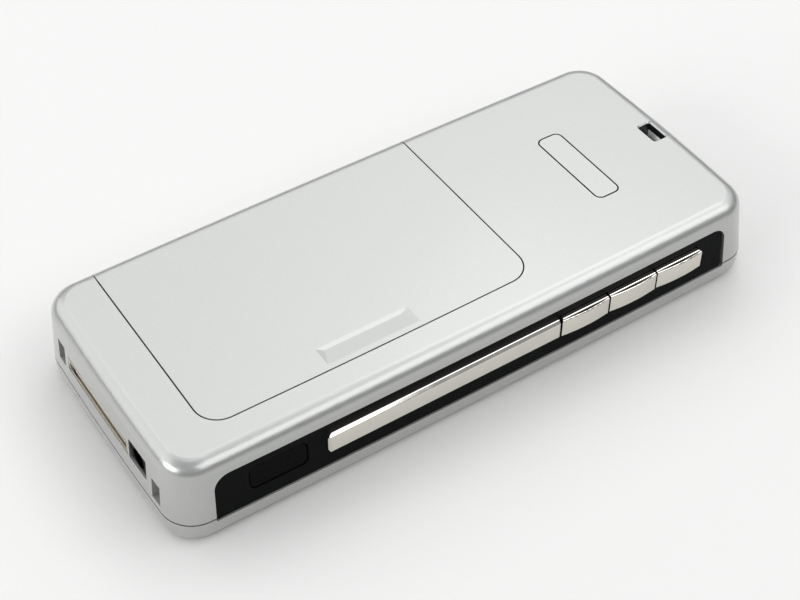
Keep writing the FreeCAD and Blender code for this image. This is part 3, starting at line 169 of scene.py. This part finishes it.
def surface(tree, shader, pattern, tints, roughness=None, relief=None):
    """Lets a pattern drive a finish: its tint between two hex codes, its roughness between two values over
    the middle of the pattern, and its relief, a strength and a depth in millimetres. Returns the tint, so
    that a finish can lay another colour over a part of it."""
    tint = add_node(tree, "ShaderNodeMix", {"Factor": pattern, "A": colour(tints[0]), "B": colour(tints[1])},
                    data_type="RGBA").outputs["Result"]
    tree.links.new(tint, shader.inputs["Base Color"])
    if roughness:
        spread = add_node(tree, "ShaderNodeMapRange", {"Value": pattern, "From Min": 0.3, "From Max": 0.7,
                                                       "To Min": roughness[0], "To Max": roughness[1]})
        tree.links.new(spread.outputs["Result"], shader.inputs["Roughness"])
    if relief:
        strength, depth = relief
        bump = add_node(tree, "ShaderNodeBump", {"Height": pattern, "Strength": strength,
                                                 "Distance": depth * MM})
        tree.links.new(bump.outputs["Normal"], shader.inputs["Normal"])
    return tint


def within(tree, place, low, high):
    """1 inside a box between two corners in metres, 0 outside. An axis whose corners match isn't tested."""
    parts = add_node(tree, "ShaderNodeSeparateXYZ", {"Vector": place})
    inside = None
    for axis in range(3):
        half = (high[axis] - low[axis]) / 2
        if half == 0:
            continue
        near = add_node(tree, "ShaderNodeMath", {0: parts.outputs[axis], 1: low[axis] + half, 2: half},
                        operation="COMPARE").outputs[0]
        if inside is None:
            inside = near
        else:
            inside = add_node(tree, "ShaderNodeMath", {0: inside, 1: near}, operation="MULTIPLY").outputs[0]
    return inside


# Finishes

def flake_lacquer(name, tints, roughness, metallic, coat, painted_shade_boxes=()):
    """Aluminium-flake lacquer sprayed on moulded plastic, under a satin clear coat: it gives a soft
    metallic sheen with a fine sparkle. Real flakes are 0.03 mm, drawn at 0.16 mm so that they show.
    Inside the given boxes a dark moulding colour is painted in, as painted shade in the seams and hollows."""
    material, tree, shader, place = new_material(name, **{"Metallic": metallic, "IOR": 1.5,
                                                          "Coat Weight": coat, "Coat Roughness": 0.12})
    flake = add_node(tree, "ShaderNodeTexNoise", {"Vector": place, "Scale": per_mm(0.16),
                                                  "Detail": 1.0}).outputs["Fac"]
    lacquer = surface(tree, shader, flake, tints, (roughness - 0.03, roughness + 0.03), (0.08, 0.01))
    # Inside these boxes the lacquer turns dark and loses its metal and coat, as painted shade
    painted_shade = None
    for corners in painted_shade_boxes:
        inside = within(tree, place, *corners)
        if painted_shade is not None:
            inside = add_node(tree, "ShaderNodeMath", {0: painted_shade, 1: inside},
                              operation="MAXIMUM").outputs[0]
        painted_shade = inside
    if painted_shade is not None:
        shaded_lacquer = add_node(tree, "ShaderNodeMix", {"Factor": painted_shade, "A": lacquer,
                                                 "B": colour(SEAM_SHADE)}, data_type="RGBA")
        tree.links.new(shaded_lacquer.outputs["Result"], shader.inputs["Base Color"])
        for socket, value in (("Metallic", metallic), ("Coat Weight", coat)):
            faded = add_node(tree, "ShaderNodeMapRange", {"Value": painted_shade, "To Min": value,
                                                          "To Max": 0.0})
            tree.links.new(faded.outputs["Result"], shader.inputs[socket])
    return material


def moulding(name, tints, pits_mm, roughness, depth_mm=0.01, **constants):
    """Moulded plastic, film or dried ink: fine pits from its mould or its drying scatter the light, so it
    looks even and soft."""
    material, tree, shader, place = new_material(name, **{"IOR": 1.5, **constants})
    pits = add_node(tree, "ShaderNodeTexNoise", {"Vector": place, "Scale": per_mm(pits_mm),
                                                 "Detail": 3.0}).outputs["Fac"]
    surface(tree, shader, pits, tints, (roughness - 0.05, roughness + 0.05), (0.25, depth_mm))
    return material


def plating(name, tints, clouds_mm, roughness, haze=0.02):
    """Bright plated metal or bright sheet: its mirror is broken only by slow clouds, which tint it and
    raise its roughness by the haze."""
    material, tree, shader, place = new_material(name, Metallic=1.0)
    clouds = add_node(tree, "ShaderNodeTexNoise", {"Vector": place, "Scale": per_mm(clouds_mm),
                                                   "Detail": 2.0}).outputs["Fac"]
    surface(tree, shader, clouds, tints, (roughness, roughness + haze))
    return material


def brushed_metal(name, tints, along, streaks_mm, roughness, painted_shade_box=None):
    """Metal rubbed, rolled or ground one way: fine streaks stretch its highlights across them. Inside the
    given box a dark colour is painted on, as painted shade that shows as a line round a plate's edge."""
    material, tree, shader, place = new_material(name, Metallic=1.0)
    stretch = [1.0, 1.0, 1.0]
    stretch["xyz".index(along)] = 0.03
    drawn_out = add_node(tree, "ShaderNodeMapping", {"Vector": place, "Scale": stretch}).outputs["Vector"]
    streaks = add_node(tree, "ShaderNodeTexNoise", {"Vector": drawn_out, "Scale": per_mm(streaks_mm),
                                                    "Detail": 3.0}).outputs["Fac"]
    rubbed = surface(tree, shader, streaks, tints, (roughness - 0.06, roughness + 0.06), (0.15, 0.005))
    if painted_shade_box:
        edge_shaded = add_node(tree, "ShaderNodeMix", {"Factor": within(tree, place, *painted_shade_box), "A": rubbed,
                                                 "B": colour(BADGE_EDGE_SHADE)}, data_type="RGBA")
        tree.links.new(edge_shaded.outputs["Result"], shader.inputs["Base Color"])
    return material


def rubber(name, tints, **constants):
    """Silicone rubber: soft, without a mirror, with a velvety edge."""
    material, tree, shader, place = new_material(name, **{"IOR": 1.41, "Sheen Weight": 0.2, **constants})
    bloom = add_node(tree, "ShaderNodeTexNoise", {"Vector": place, "Scale": per_mm(0.8),
                                                  "Detail": 2.0}).outputs["Fac"]
    surface(tree, shader, bloom, tints, (0.5, 0.62))
    return material


def cell_foam(name, tints, cells_mm):
    """Closed-cell foam: small round cells that show at its cut edges."""
    material, tree, shader, place = new_material(name, **{"IOR": 1.4, "Roughness": 0.9})
    cells = add_node(tree, "ShaderNodeTexVoronoi", {"Vector": place, "Scale": per_mm(cells_mm)})
    surface(tree, shader, cells.outputs["Distance"], tints, relief=(0.6, 0.05))
    return material


def woven_mesh(name, tints, threads_mm):
    """Acoustic cloth: a plain weave of threads that run along x and up z."""
    material, tree, shader, place = new_material(name, **{"IOR": 1.5, "Roughness": 0.75,
                                                          "Sheen Weight": 0.3})
    waves = [add_node(tree, "ShaderNodeTexWave", {"Vector": place, "Scale": per_mm(threads_mm) / math.tau},
                      bands_direction=axis).outputs["Fac"] for axis in ("X", "Z")]
    cloth = add_node(tree, "ShaderNodeMath", {0: waves[0], 1: waves[1]}, operation="MAXIMUM").outputs[0]
    surface(tree, shader, cloth, tints, relief=(0.8, 0.05))
    return material


def circuit_board(name):
    """Glass-filled laminate under green solder mask: copper tracks show through as a lighter green."""
    material, tree, shader, place = new_material(name, **{"IOR": 1.5, "Roughness": 0.35, "Coat Weight": 0.4})
    tracks = add_node(tree, "ShaderNodeTexBrick", {
        "Vector": place, "Scale": per_mm(3.0), "Mortar Size": 0.02, "Color1": colour("#0F3E28"),
        "Color2": colour("#124A30"), "Mortar": colour("#2C7550")})
    tree.links.new(tracks.outputs["Color"], shader.inputs["Base Color"])
    bump = add_node(tree, "ShaderNodeBump", {"Height": tracks.outputs["Fac"], "Strength": 0.3,
                                             "Distance": 0.03 * MM})
    tree.links.new(bump.outputs["Normal"], shader.inputs["Normal"])
    return material


def printed_window(name):
    """Hard-coated acrylic: clear over the picture, with black printing behind it all round."""
    low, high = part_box("display_gasket")
    border = WINDOW_BORDER * MM
    material, tree, shader, place = new_material(name, **{"IOR": 1.49, "Coat Weight": 0.3,
                                                          "Coat Roughness": 0.03})
    clear = within(tree, place, (low.x + border, low.y + border, 0), (high.x - border, high.y - border, 0))
    surface(tree, shader, clear, ("#0B0B0D", "#F6F8F8"))
    tree.links.new(clear, shader.inputs["Transmission Weight"])
    scuff = add_node(tree, "ShaderNodeTexNoise", {"Vector": place, "Scale": per_mm(2.5)}).outputs["Fac"]
    spread = add_node(tree, "ShaderNodeMapRange", {"Value": scuff, "From Min": 0.3, "From Max": 0.7,
                                                   "To Min": 0.03, "To Max": 0.07})
    tree.links.new(spread.outputs["Result"], shader.inputs["Roughness"])
    return material


def picture_stack(name):
    """Unlit liquid-crystal stack: dark polariser film inside a pale moulded bezel."""
    low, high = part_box("display_module")
    bezel = BEZEL_WIDTH * MM
    material, tree, shader, place = new_material(name, **{"IOR": 1.5})
    sheen = add_node(tree, "ShaderNodeTexNoise", {"Vector": place, "Scale": per_mm(12.0)}).outputs["Fac"]
    dark = surface(tree, shader, sheen, ("#262C2B", "#2F3736"), (0.16, 0.22))
    film = within(tree, place, (low.x + bezel, low.y + bezel, 0), (high.x - bezel, high.y - bezel, 0))
    framed = add_node(tree, "ShaderNodeMix", {"Factor": film, "A": colour("#C9CDCC"), "B": dark},
                      data_type="RGBA")
    tree.links.new(framed.outputs["Result"], shader.inputs["Base Color"])
    return material


def gilded_insulator(name, low, high):
    """Black glass-filled nylon whose contacts, inside a box, are gold over nickel."""
    material, tree, shader, place = new_material(name)
    speck = add_node(tree, "ShaderNodeTexNoise", {"Vector": place, "Scale": per_mm(0.3),
                                                  "Detail": 2.0}).outputs["Fac"]
    nylon, plated = [add_node(tree, "ShaderNodeMix", {"Factor": speck, "A": colour(tints[0]),
                                                      "B": colour(tints[1])},
                              data_type="RGBA").outputs["Result"] for tints in (NYLON, GOLD)]
    gold = within(tree, place, low, high)
    parted = add_node(tree, "ShaderNodeMix", {"Factor": gold, "A": nylon, "B": plated}, data_type="RGBA")
    tree.links.new(parted.outputs["Result"], shader.inputs["Base Color"])
    tree.links.new(gold, shader.inputs["Metallic"])
    polish = add_node(tree, "ShaderNodeMapRange", {"Value": gold, "To Min": 0.5, "To Max": 0.2})
    tree.links.new(polish.outputs["Result"], shader.inputs["Roughness"])
    return material


# Boxes of painted shade on the lacquer: the door opening, the badge's seat, the eyelet, and the casing's
# joint
casing_low, casing_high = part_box("rear_cover")
door_low, door_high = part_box("battery_door")
badge_low, badge_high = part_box("badge_plate")
reach = SHADE_REACH * MM
door_seat = ((door_low.x - reach, DOOR_EDGE * MM - reach, casing_low.z + DOOR_SEAT_FOOT * MM),
             (door_high.x + reach, door_high.y - DOOR_WRAP * MM + reach, casing_high.z - DOOR_SHADE_BELOW_TOP * MM))
badge_seat = ((badge_low.x - reach, badge_low.y - reach, badge_low.z - BADGE_SEAT_DEPTH * MM),
              (badge_high.x + reach, badge_high.y + reach, badge_high.z - BADGE_SHADE_BELOW_TOP * MM))
eyelet = (Vector(EYELET_LOW) * MM, Vector(EYELET_HIGH) * MM)
below_joint = ((0, 0, 0), (0, 0, casing_low.z + COVER_RIM * MM))
above_joint = ((0, 0, SEAM_HEIGHT * MM + FRAME_RIM * MM), (0, 0, casing_high.z))

finishes = {
    "silver_paint": flake_lacquer("satin_silver_lacquer", **SILVER),
    "key_silver": flake_lacquer("lacquered_keycap", ("#B4B5B4", "#C2C3C1"),
                                roughness=0.32, metallic=0.6, coat=0.8),
    # Below its top face the plate is painted dark, as painted shade round its edge
    # Etched and anodised, so a pale even satin hides most of the brushing
    "brushed_plate": brushed_metal("anodised_aluminium_with_painted_edge_shade", ("#BFC0BD", "#C7C8C5"), "y",
                                   streaks_mm=0.10, roughness=0.5,
                                   painted_shade_box=((0, 0, 0), (0, 0, badge_high.z - BADGE_FACE * MM))),
    # Near black and matt, so only a faint cool sheen comes off it
    "black_plastic": moulding("matt_black_polycarbonate", ("#020304", "#050608"),
                              pits_mm=0.12, roughness=0.5, **{"Specular IOR Level": 0.06}),
    # Black to the eye and clear to infrared, polished smoother than the panel
    "dark_window": moulding("infrared_acrylic", ("#010101", "#030303"),
                            pits_mm=0.5, roughness=0.3, depth_mm=0.002, **{"Specular IOR Level": 0.04}),
    "chrome_trim": plating("chrome_plated_abs", ("#DAD6CD", "#E3E0D8"), clouds_mm=2.5, roughness=0.05),
    "nickel_shell": plating("nickel_plated_steel", ("#D6CCBC", "#E6DED0"),
                            clouds_mm=0.8, roughness=0.28, haze=0.08),
    "tinned_steel": plating("bright_tinned_steel", ("#B9B9B5", "#CDCDC8"),
                            clouds_mm=1.2, roughness=0.24, haze=0.08),
    "dome_steel": plating("stainless_snap_dome", ("#ABABA8", "#C0C0BD"),
                          clouds_mm=0.8, roughness=0.2, haze=0.06),
    "antenna_metal": plating("phosphor_bronze", ("#B07A4A", "#C48D5C"),
                             clouds_mm=0.8, roughness=0.24, haze=0.08),
    "screw_steel": plating("zinc_plated_steel", ("#9FA1A3", "#B5B7B8"),
                           clouds_mm=0.4, roughness=0.28, haze=0.08),
    "steel_can": brushed_metal("rolled_steel", ("#B0B0AC", "#C4C4C0"), "x", streaks_mm=0.15, roughness=0.3),
    "grille_steel": brushed_metal("blackened_steel", ("#3A3B3D", "#4A4B4D"), "y",
                                  streaks_mm=0.1, roughness=0.35),
    # Ground after it is sintered, so a dull grey with the strokes of the wheel
    "weight_tungsten": brushed_metal("sintered_tungsten", ("#66666A", "#78787C"), "x",
                                     streaks_mm=0.2, roughness=0.42),
    # Amber film over copper tracks
    "flex_film": moulding("polyimide_film", ("#A8651E", "#BD7A2C"),
                          pits_mm=1.0, roughness=0.3, depth_mm=0.004),
    "insulator": moulding("glass_filled_nylon", NYLON, pits_mm=0.3, roughness=0.5, depth_mm=0.02),
    "chassis_plastic": moulding("grey_polycarbonate", ("#4B4F54", "#5A5F64"),
                                pits_mm=0.3, roughness=0.5, depth_mm=0.02),
    "carrier_plastic": moulding("liquid_crystal_polymer", ("#C4C6C6", "#D2D4D4"),
                                pits_mm=0.3, roughness=0.5, depth_mm=0.02),
    "card_plastic": moulding("white_card_pvc", ("#E4E5E6", "#EEEEEE"),
                             pits_mm=0.4, roughness=0.32, depth_mm=0.004),
    "card_black": moulding("black_card_pvc", ("#17181A", "#222326"), pits_mm=0.25, roughness=0.45),
    "battery_wrap": moulding("battery_shrink_foil", ("#33373C", "#3E4349"),
                             pits_mm=0.6, roughness=0.3, depth_mm=0.006),
    "rubber_boot": rubber("black_silicone_boot", ("#2A2B2D", "#36373A")),
    "silicone": rubber("milky_silicone_mat", ("#D0D4D6", "#DFE2E4"), **{"Subsurface Weight": 0.2}),
    "foam_gasket": cell_foam("gasket_foam", ("#1A1A1A", "#2A2A2A"), cells_mm=0.3),
    # Threads are 0.06 mm, drawn at 0.25 mm so that the weave shows
    "mesh_cloth": woven_mesh("acoustic_mesh", ("#0D0D0E", "#262628"), threads_mm=0.25),
    "board_laminate": circuit_board("solder_masked_laminate"),
    "window_glass": printed_window("hard_coated_acrylic"),
    "display_face": picture_stack("liquid_crystal_stack"),
}
printing_ink = moulding("dark_printing_ink", ("#26282B", "#303236"),
                        pits_mm=0.2, roughness=0.45, depth_mm=0.003)
green_ink = moulding("green_printing_ink", ("#1F8A4C", "#2A9A58"),
                     pits_mm=0.2, roughness=0.45, depth_mm=0.003)
red_ink = moulding("red_printing_ink", ("#B3262A", "#C43136"),
                   pits_mm=0.2, roughness=0.45, depth_mm=0.003)
label_paper = moulding("satin_label_film", ("#D9DAD6", "#E2E3DF"),
                       pits_mm=0.5, roughness=0.4, depth_mm=0.004)
tongue_plastic = moulding("brown_grey_nylon", ("#8A8078", "#968C83"), pits_mm=0.3, roughness=0.5)

for piece in nodes.values():
    slot_name = piece.material_slots[0].material.name.split(".")[0]
    piece.material_slots[0].material = finishes[slot_name]

# Four nodes whose finish changes over the piece
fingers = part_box("battery_contacts")[0].x
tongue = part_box("connector_insert")[1].z
own_finishes = {
    # The cover and the frame get painted shade in their seams and hollows
    "rear_cover": flake_lacquer("satin_silver_lacquer_with_painted_shade_on_cover", **SILVER,
                                painted_shade_boxes=(door_seat, badge_seat, eyelet, below_joint)),
    "front_frame": flake_lacquer("satin_silver_lacquer_with_painted_shade_on_frame", **SILVER, painted_shade_boxes=(above_joint,)),
    "connector_insert": gilded_insulator("nylon_tongue_with_gold_contacts",
                                         (0, 0, tongue - TONGUE_FACE * MM),
                                         (0, 0, tongue + TONGUE_FACE * MM)),
    "battery_contacts": gilded_insulator("nylon_block_with_gold_fingers",
                                         (fingers - FINGER_MARGIN * MM, 0, 0),
                                         (fingers + FINGER_REACH * MM, 0, 0)),
}
for name, finish in own_finishes.items():
    nodes[name].material_slots[0].material = finish


# Added pieces

def settle(piece, name, body, material):
    """Names a finished piece, puts its place into its mesh and sets it on its body."""
    bpy.ops.object.select_all(action="DESELECT")
    piece.select_set(True)
    bpy.context.view_layer.objects.active = piece
    bpy.ops.object.transform_apply(location=True, rotation=True, scale=True)
    piece.name = name
    piece.data.name = name
    piece.data.materials.clear()
    piece.data.materials.append(material)
    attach(piece, body)


def with_copies(model, count):
    """The modelled piece and copies of it, each with a mesh of its own."""
    pieces = [model]
    while len(pieces) < count:
        copy = model.copy()
        copy.data = model.data.copy()
        bpy.context.collection.objects.link(copy)
        pieces.append(copy)
    return pieces


def ink_place(body, along=0.0, across=0.0):
    """Middle of the ink on a face that points down, moved by millimetres. Part of the ink is sunk in."""
    low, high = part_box(body)
    return Vector(((low.x + high.x) / 2 + along * MM, (low.y + high.y) / 2 + across * MM,
                   low.z + (INK_ROOT - INK_RELIEF) / 2 * MM))


def print_text(name, text, height, key, along=0.0, across=0.0):
    """Raised ink characters on a key's face, with their tops towards +X."""
    bpy.ops.object.select_all(action="DESELECT")
    bpy.ops.object.text_add(location=ink_place(key, along, across), rotation=(math.pi, 0, math.pi / 2))
    words = bpy.context.object
    words.data.body = text
    words.data.align_x = "CENTER"
    words.data.align_y = "CENTER"
    words.data.size = height * MM / CAPITAL_SHARE
    words.data.resolution_u = 3
    words.data.extrude = INK_DEPTH * MM / 2
    bpy.ops.object.convert(target="MESH")
    settle(bpy.context.object, name, key, printing_ink)


key_letters = {"key_2": "abc", "key_3": "def", "key_4": "ghi", "key_5": "jkl", "key_6": "mno",
               "key_7": "pqrs", "key_8": "tuv", "key_9": "wxyz"}
key_signs = {"key_star": "*", "key_hash": "#", "key_0": "0"}
for number in range(1, 10):
    key_signs["key_%d" % number] = str(number)
for key, sign in key_signs.items():
    beside = DIGIT_BESIDE if key in key_letters else 0.0
    drop = STAR_DROP if sign == "*" else 0.0
    print_text("digit_" + key, sign, DIGIT_HEIGHT, key, drop, beside)
for key, letters in key_letters.items():
    print_text("letters_" + key, letters, LETTER_HEIGHT, key, LETTER_DROP, LETTER_BESIDE)
print_text("letter_clear_key", "C", CLEAR_SIGN_HEIGHT, "clear_key")


def ink_bar(length, width):
    """Raised ink bar along Y about the origin, whose upright edges are rounded to make round ends."""
    bpy.ops.object.select_all(action="DESELECT")
    bpy.ops.mesh.primitive_cube_add(size=1.0)
    bar = bpy.context.object
    bar.scale = (width * MM, length * MM, INK_DEPTH * MM)
    bpy.ops.object.transform_apply(location=False, rotation=False, scale=True)
    rounding = bar.modifiers.new("round ends", "BEVEL")
    rounding.width = BAR_END_SHARE * width * MM
    rounding.segments = 4
    rounding.limit_method = "WEIGHT"
    weights = bar.data.attributes.new("bevel_weight_edge", "FLOAT", "EDGE")
    for edge in bar.data.edges:
        start, end = (bar.data.vertices[v].co for v in edge.vertices)
        weights.data[edge.index].value = 1.0 if abs(start.z - end.z) > INK_ROOT * MM else 0.0
    bpy.ops.object.modifier_apply(modifier=rounding.name)
    return bar


soft_keys = ("soft_key_left", "soft_key_right")
for line, key in zip(with_copies(ink_bar(LINE_LENGTH, LINE_WIDTH), len(soft_keys)), soft_keys):
    line.location = ink_place(key)
    settle(line, "line_" + key, key, printing_ink)

dot_places = [(along, across) for along in (-DOT_OFFSET, DOT_OFFSET) for across in (-DOT_OFFSET, DOT_OFFSET)]
dots = with_copies(ink_bar(DOT_SIZE, DOT_SIZE), len(dot_places))
for number, (dot, (along, across)) in enumerate(zip(dots, dot_places), 1):
    dot.location = ink_place("menu_key", along, across)
    settle(dot, "menu_dot_%d" % number, "menu_key", printing_ink)


def ink_handset():
    """Handset sign in raised ink: an arc about the origin, from +X towards +Y, with a pad at each end."""
    bpy.ops.object.select_all(action="DESELECT")
    bpy.ops.mesh.primitive_plane_add(size=1.0, rotation=(math.pi / 2, 0, 0))
    sign = bpy.context.object
    sign.scale = (HANDSET_WIDTH * MM, INK_DEPTH * MM, 1.0)
    sign.location.x = HANDSET_RADIUS * MM
    bpy.ops.object.transform_apply(location=True, rotation=True, scale=True)
    bpy.ops.object.mode_set(mode="EDIT")
    bpy.ops.mesh.select_all(action="SELECT")
    bpy.ops.mesh.spin(steps=HANDSET_STEPS, angle=-HANDSET_SWEEP, center=(0, 0, 0), axis=(0, 0, 1))
    bpy.ops.object.mode_set(mode="OBJECT")
    parts = [sign]
    for angle in (0.0, HANDSET_SWEEP):
        end = HANDSET_RADIUS * MM * Vector((math.cos(angle), math.sin(angle), 0))
        bpy.ops.mesh.primitive_cube_add(size=1.0, rotation=(0, 0, angle), location=end)
        pad = bpy.context.object
        pad.scale = (PAD_WIDTH * MM, PAD_LENGTH * MM, (INK_DEPTH + PAD_PROUD) * MM)
        parts.append(pad)
    for part in parts:
        part.select_set(True)
    bpy.context.view_layer.objects.active = sign
    bpy.ops.object.join()
    bpy.ops.object.mode_set(mode="EDIT")
    bpy.ops.mesh.select_all(action="SELECT")
    bpy.ops.mesh.normals_make_consistent(inside=False)
    bpy.ops.object.mode_set(mode="OBJECT")
    return sign


# The back of each handset faces its lean, an angle from +X towards +Y, and its middle is on the key's
handset_middle = HANDSET_RADIUS * (1 + math.cos(HANDSET_SWEEP / 2)) / 2
handsets = (("call_key", green_ink, CALL_LEAN), ("end_key", red_ink, END_LEAN))
for handset, (key, ink, lean) in zip(with_copies(ink_handset(), len(handsets)), handsets):
    handset.rotation_euler = (0, 0, lean - HANDSET_SWEEP / 2)
    handset.location = ink_place(key, -handset_middle * math.cos(lean), -handset_middle * math.sin(lean))
    settle(handset, "handset_" + key, key, ink)

# Up and down arrows of the navigation ring
bpy.ops.object.select_all(action="DESELECT")
bpy.ops.mesh.primitive_cylinder_add(vertices=3, radius=ARROW_SIZE / 2 * MM, depth=INK_DEPTH * MM)
arrow_model = bpy.context.object
points = arrow_model.modifiers.new("rounded points", "BEVEL")
points.width = ARROW_ROUNDING * MM
points.segments = 2
bpy.ops.object.modifier_apply(modifier=points.name)
arrow_sides = (("arrow_up", 1), ("arrow_down", -1))
for arrow, (name, side) in zip(with_copies(arrow_model, len(arrow_sides)), arrow_sides):
    arrow.rotation_euler = (0, 0, -side * math.pi / 2)
    arrow.location = ink_place("navigation_ring", side * ARROW_REACH)
    settle(arrow, name, "navigation_ring", printing_ink)


def rounded_block(low, high, rounding):
    """Block between two corners in metres, with its edges rounded by a width in millimetres."""
    bpy.ops.object.select_all(action="DESELECT")
    bpy.ops.mesh.primitive_cube_add(size=1.0, location=(low + high) / 2)
    block = bpy.context.object
    block.scale = high - low
    bpy.ops.object.transform_apply(location=False, rotation=False, scale=True)
    softening = block.modifiers.new("softened edges", "BEVEL")
    softening.width = rounding * MM
    softening.segments = 2
    bpy.ops.object.modifier_apply(modifier=softening.name)
    return block


# Coding block in the data connector's mouth, at the end away from the charger socket
shell_low, shell_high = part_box("connector_shell")
wall = SHELL_WALL * MM
block_high = Vector((shell_low.x + BLOCK_DEPTH * MM, shell_high.y - wall, shell_high.z - wall))
block_low = Vector((shell_low.x + BLOCK_INSET * MM, block_high.y - BLOCK_WIDTH * MM,
                    block_high.z - BLOCK_HEIGHT * MM))
settle(rounded_block(block_low, block_high, BLOCK_ROUNDING), "connector_coding_block", "casing",
       finishes["insulator"])

# Front of the connector's tongue, under a thin metal shield in two lengths
mouth = shell_low.x + TONGUE_INSET * MM
shield_low = TONGUE_TOP - SHIELD_THICKNESS
split_near = SHIELD_SPLIT - SHIELD_GAP / 2
split_far = SHIELD_SPLIT + SHIELD_GAP / 2
nickel = finishes["nickel_shell"]
strips = (
    ("connector_tongue_front", TONGUE_NEAR, TONGUE_FAR, TONGUE_LOW, shield_low,
     tongue_plastic, "insulator"),
    ("connector_shield_near", TONGUE_NEAR, split_near, shield_low, TONGUE_TOP,
     nickel, "nickel_shell"),
    ("connector_shield_far", split_far, TONGUE_FAR, shield_low, TONGUE_TOP,
     nickel, "nickel_shell"),
)
for name, near, far, bottom, top, material, slot in strips:
    strip_low = Vector((mouth, near * MM, bottom * MM))
    strip_high = Vector((mouth + TONGUE_REACH * MM, far * MM, top * MM))
    settle(rounded_block(strip_low, strip_high, TONGUE_ROUNDING), name, "casing", material)

# Battery label: plain film with a rounded outline
battery_low, battery_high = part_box("battery")
label_middle = (battery_low + battery_high) / 2
label_size = battery_high - battery_low - Vector((2, 2, 0)) * LABEL_MARGIN * MM
bpy.ops.object.select_all(action="DESELECT")
bpy.ops.mesh.primitive_plane_add(size=1.0, location=(label_middle.x, label_middle.y, battery_high.z))
label = bpy.context.object
label.scale = (label_size.x, label_size.y, 1.0)
bpy.ops.object.transform_apply(location=False, rotation=False, scale=True)
bpy.ops.object.mode_set(mode="EDIT")
bpy.ops.mesh.select_all(action="SELECT")
bpy.ops.mesh.bevel(offset=LABEL_CORNER * MM, segments=6, affect="VERTICES")
bpy.ops.mesh.select_all(action="SELECT")
bpy.ops.mesh.extrude_region_move(TRANSFORM_OT_translate={"value": (0, 0, LABEL_THICKNESS * MM)})
bpy.ops.mesh.select_all(action="SELECT")
bpy.ops.mesh.normals_make_consistent(inside=False)
bpy.ops.object.mode_set(mode="OBJECT")
settle(label, "battery_label", "casing", label_paper)

# Floor: matt white card
bpy.ops.object.select_all(action="DESELECT")
bpy.ops.mesh.primitive_plane_add(size=6.0, location=(0, 0, 0))
floor = bpy.context.object
floor.name = "floor"
floor.data.materials.append(moulding("matt_white_card", ("#DEDEDC", "#E2E1DF"),
                                     pits_mm=0.8, roughness=0.8, depth_mm=0.0))

# Soft studio light: a bright tent above, dark towards the horizon
world = bpy.data.worlds.new("studio")
bpy.context.scene.world = world
world.use_nodes = True
sky = world.node_tree
background = sky.nodes["Background"]
background.inputs["Color"].default_value = colour("#EBEEF3")
direction = add_node(sky, "ShaderNodeTexCoord").outputs["Generated"]
height = add_node(sky, "ShaderNodeSeparateXYZ", {"Vector": direction}).outputs["Z"]
glow = add_node(sky, "ShaderNodeMapRange", {"Value": height, "From Min": 0.05, "From Max": 0.6,
                                            "To Min": 0.16, "To Max": 0.40},
                interpolation_type="SMOOTHSTEP")
sky.links.new(glow.outputs["Result"], background.inputs["Strength"])

# Distance of every softbox from the object, in metres
LAMP_DISTANCE = 0.7


def softbox(name, azimuth, elevation, size_x, size_y, brightness):
    """Rectangular lamp seen from the object at a direction in degrees, turned towards the object."""
    turn = math.radians(azimuth)
    climb = math.radians(elevation)
    place = LAMP_DISTANCE * Vector((math.cos(climb) * math.cos(turn), math.cos(climb) * math.sin(turn),
                                    math.sin(climb)))
    lamp = bpy.data.lights.new(name, "AREA")
    lamp.shape = "RECTANGLE"
    lamp.size = size_x
    lamp.size_y = size_y
    lamp.energy = brightness * math.pi * size_x * size_y
    holder = bpy.data.objects.new(name, lamp)
    bpy.context.scene.collection.objects.link(holder)
    holder.location = place
    holder.rotation_euler = (-place).to_track_quat("-Z", "Y").to_euler()


softbox("softbox_back", 57, 45, 0.6, 0.55, 1.2)
softbox("softbox_above", 25, 66, 0.5, 0.5, 0.95)
softbox("softbox_back_left", 128, 39, 0.7, 0.62, 1.25)
softbox("softbox_left", 180, 25, 0.5, 0.3, 4.2)
softbox("softbox_right", 0, 45, 0.5, 0.5, 0.7)
softbox("softbox_front_right", -58, 50, 0.7, 0.42, 2.15)

# Plain tone curve, so that the black panel stays black
bpy.context.scene.view_settings.view_transform = "Standard"

# Camera: a short telephoto from above the connector end, shifted to frame the phone
lens = bpy.data.cameras.new("camera")
camera = bpy.data.objects.new("camera", lens)
bpy.context.scene.collection.objects.link(camera)
camera.location = (-0.11337, -0.16717, 0.21099)
camera.rotation_euler = [math.radians(a) for a in (45.588, 0.153, -33.031)]
lens.sensor_width = 36.0
lens.lens = 74.8
lens.shift_x = 0.02265
lens.shift_y = -0.0521
lens.clip_start = 0.01
lens.clip_end = 20.0
bpy.context.scene.camera = camera
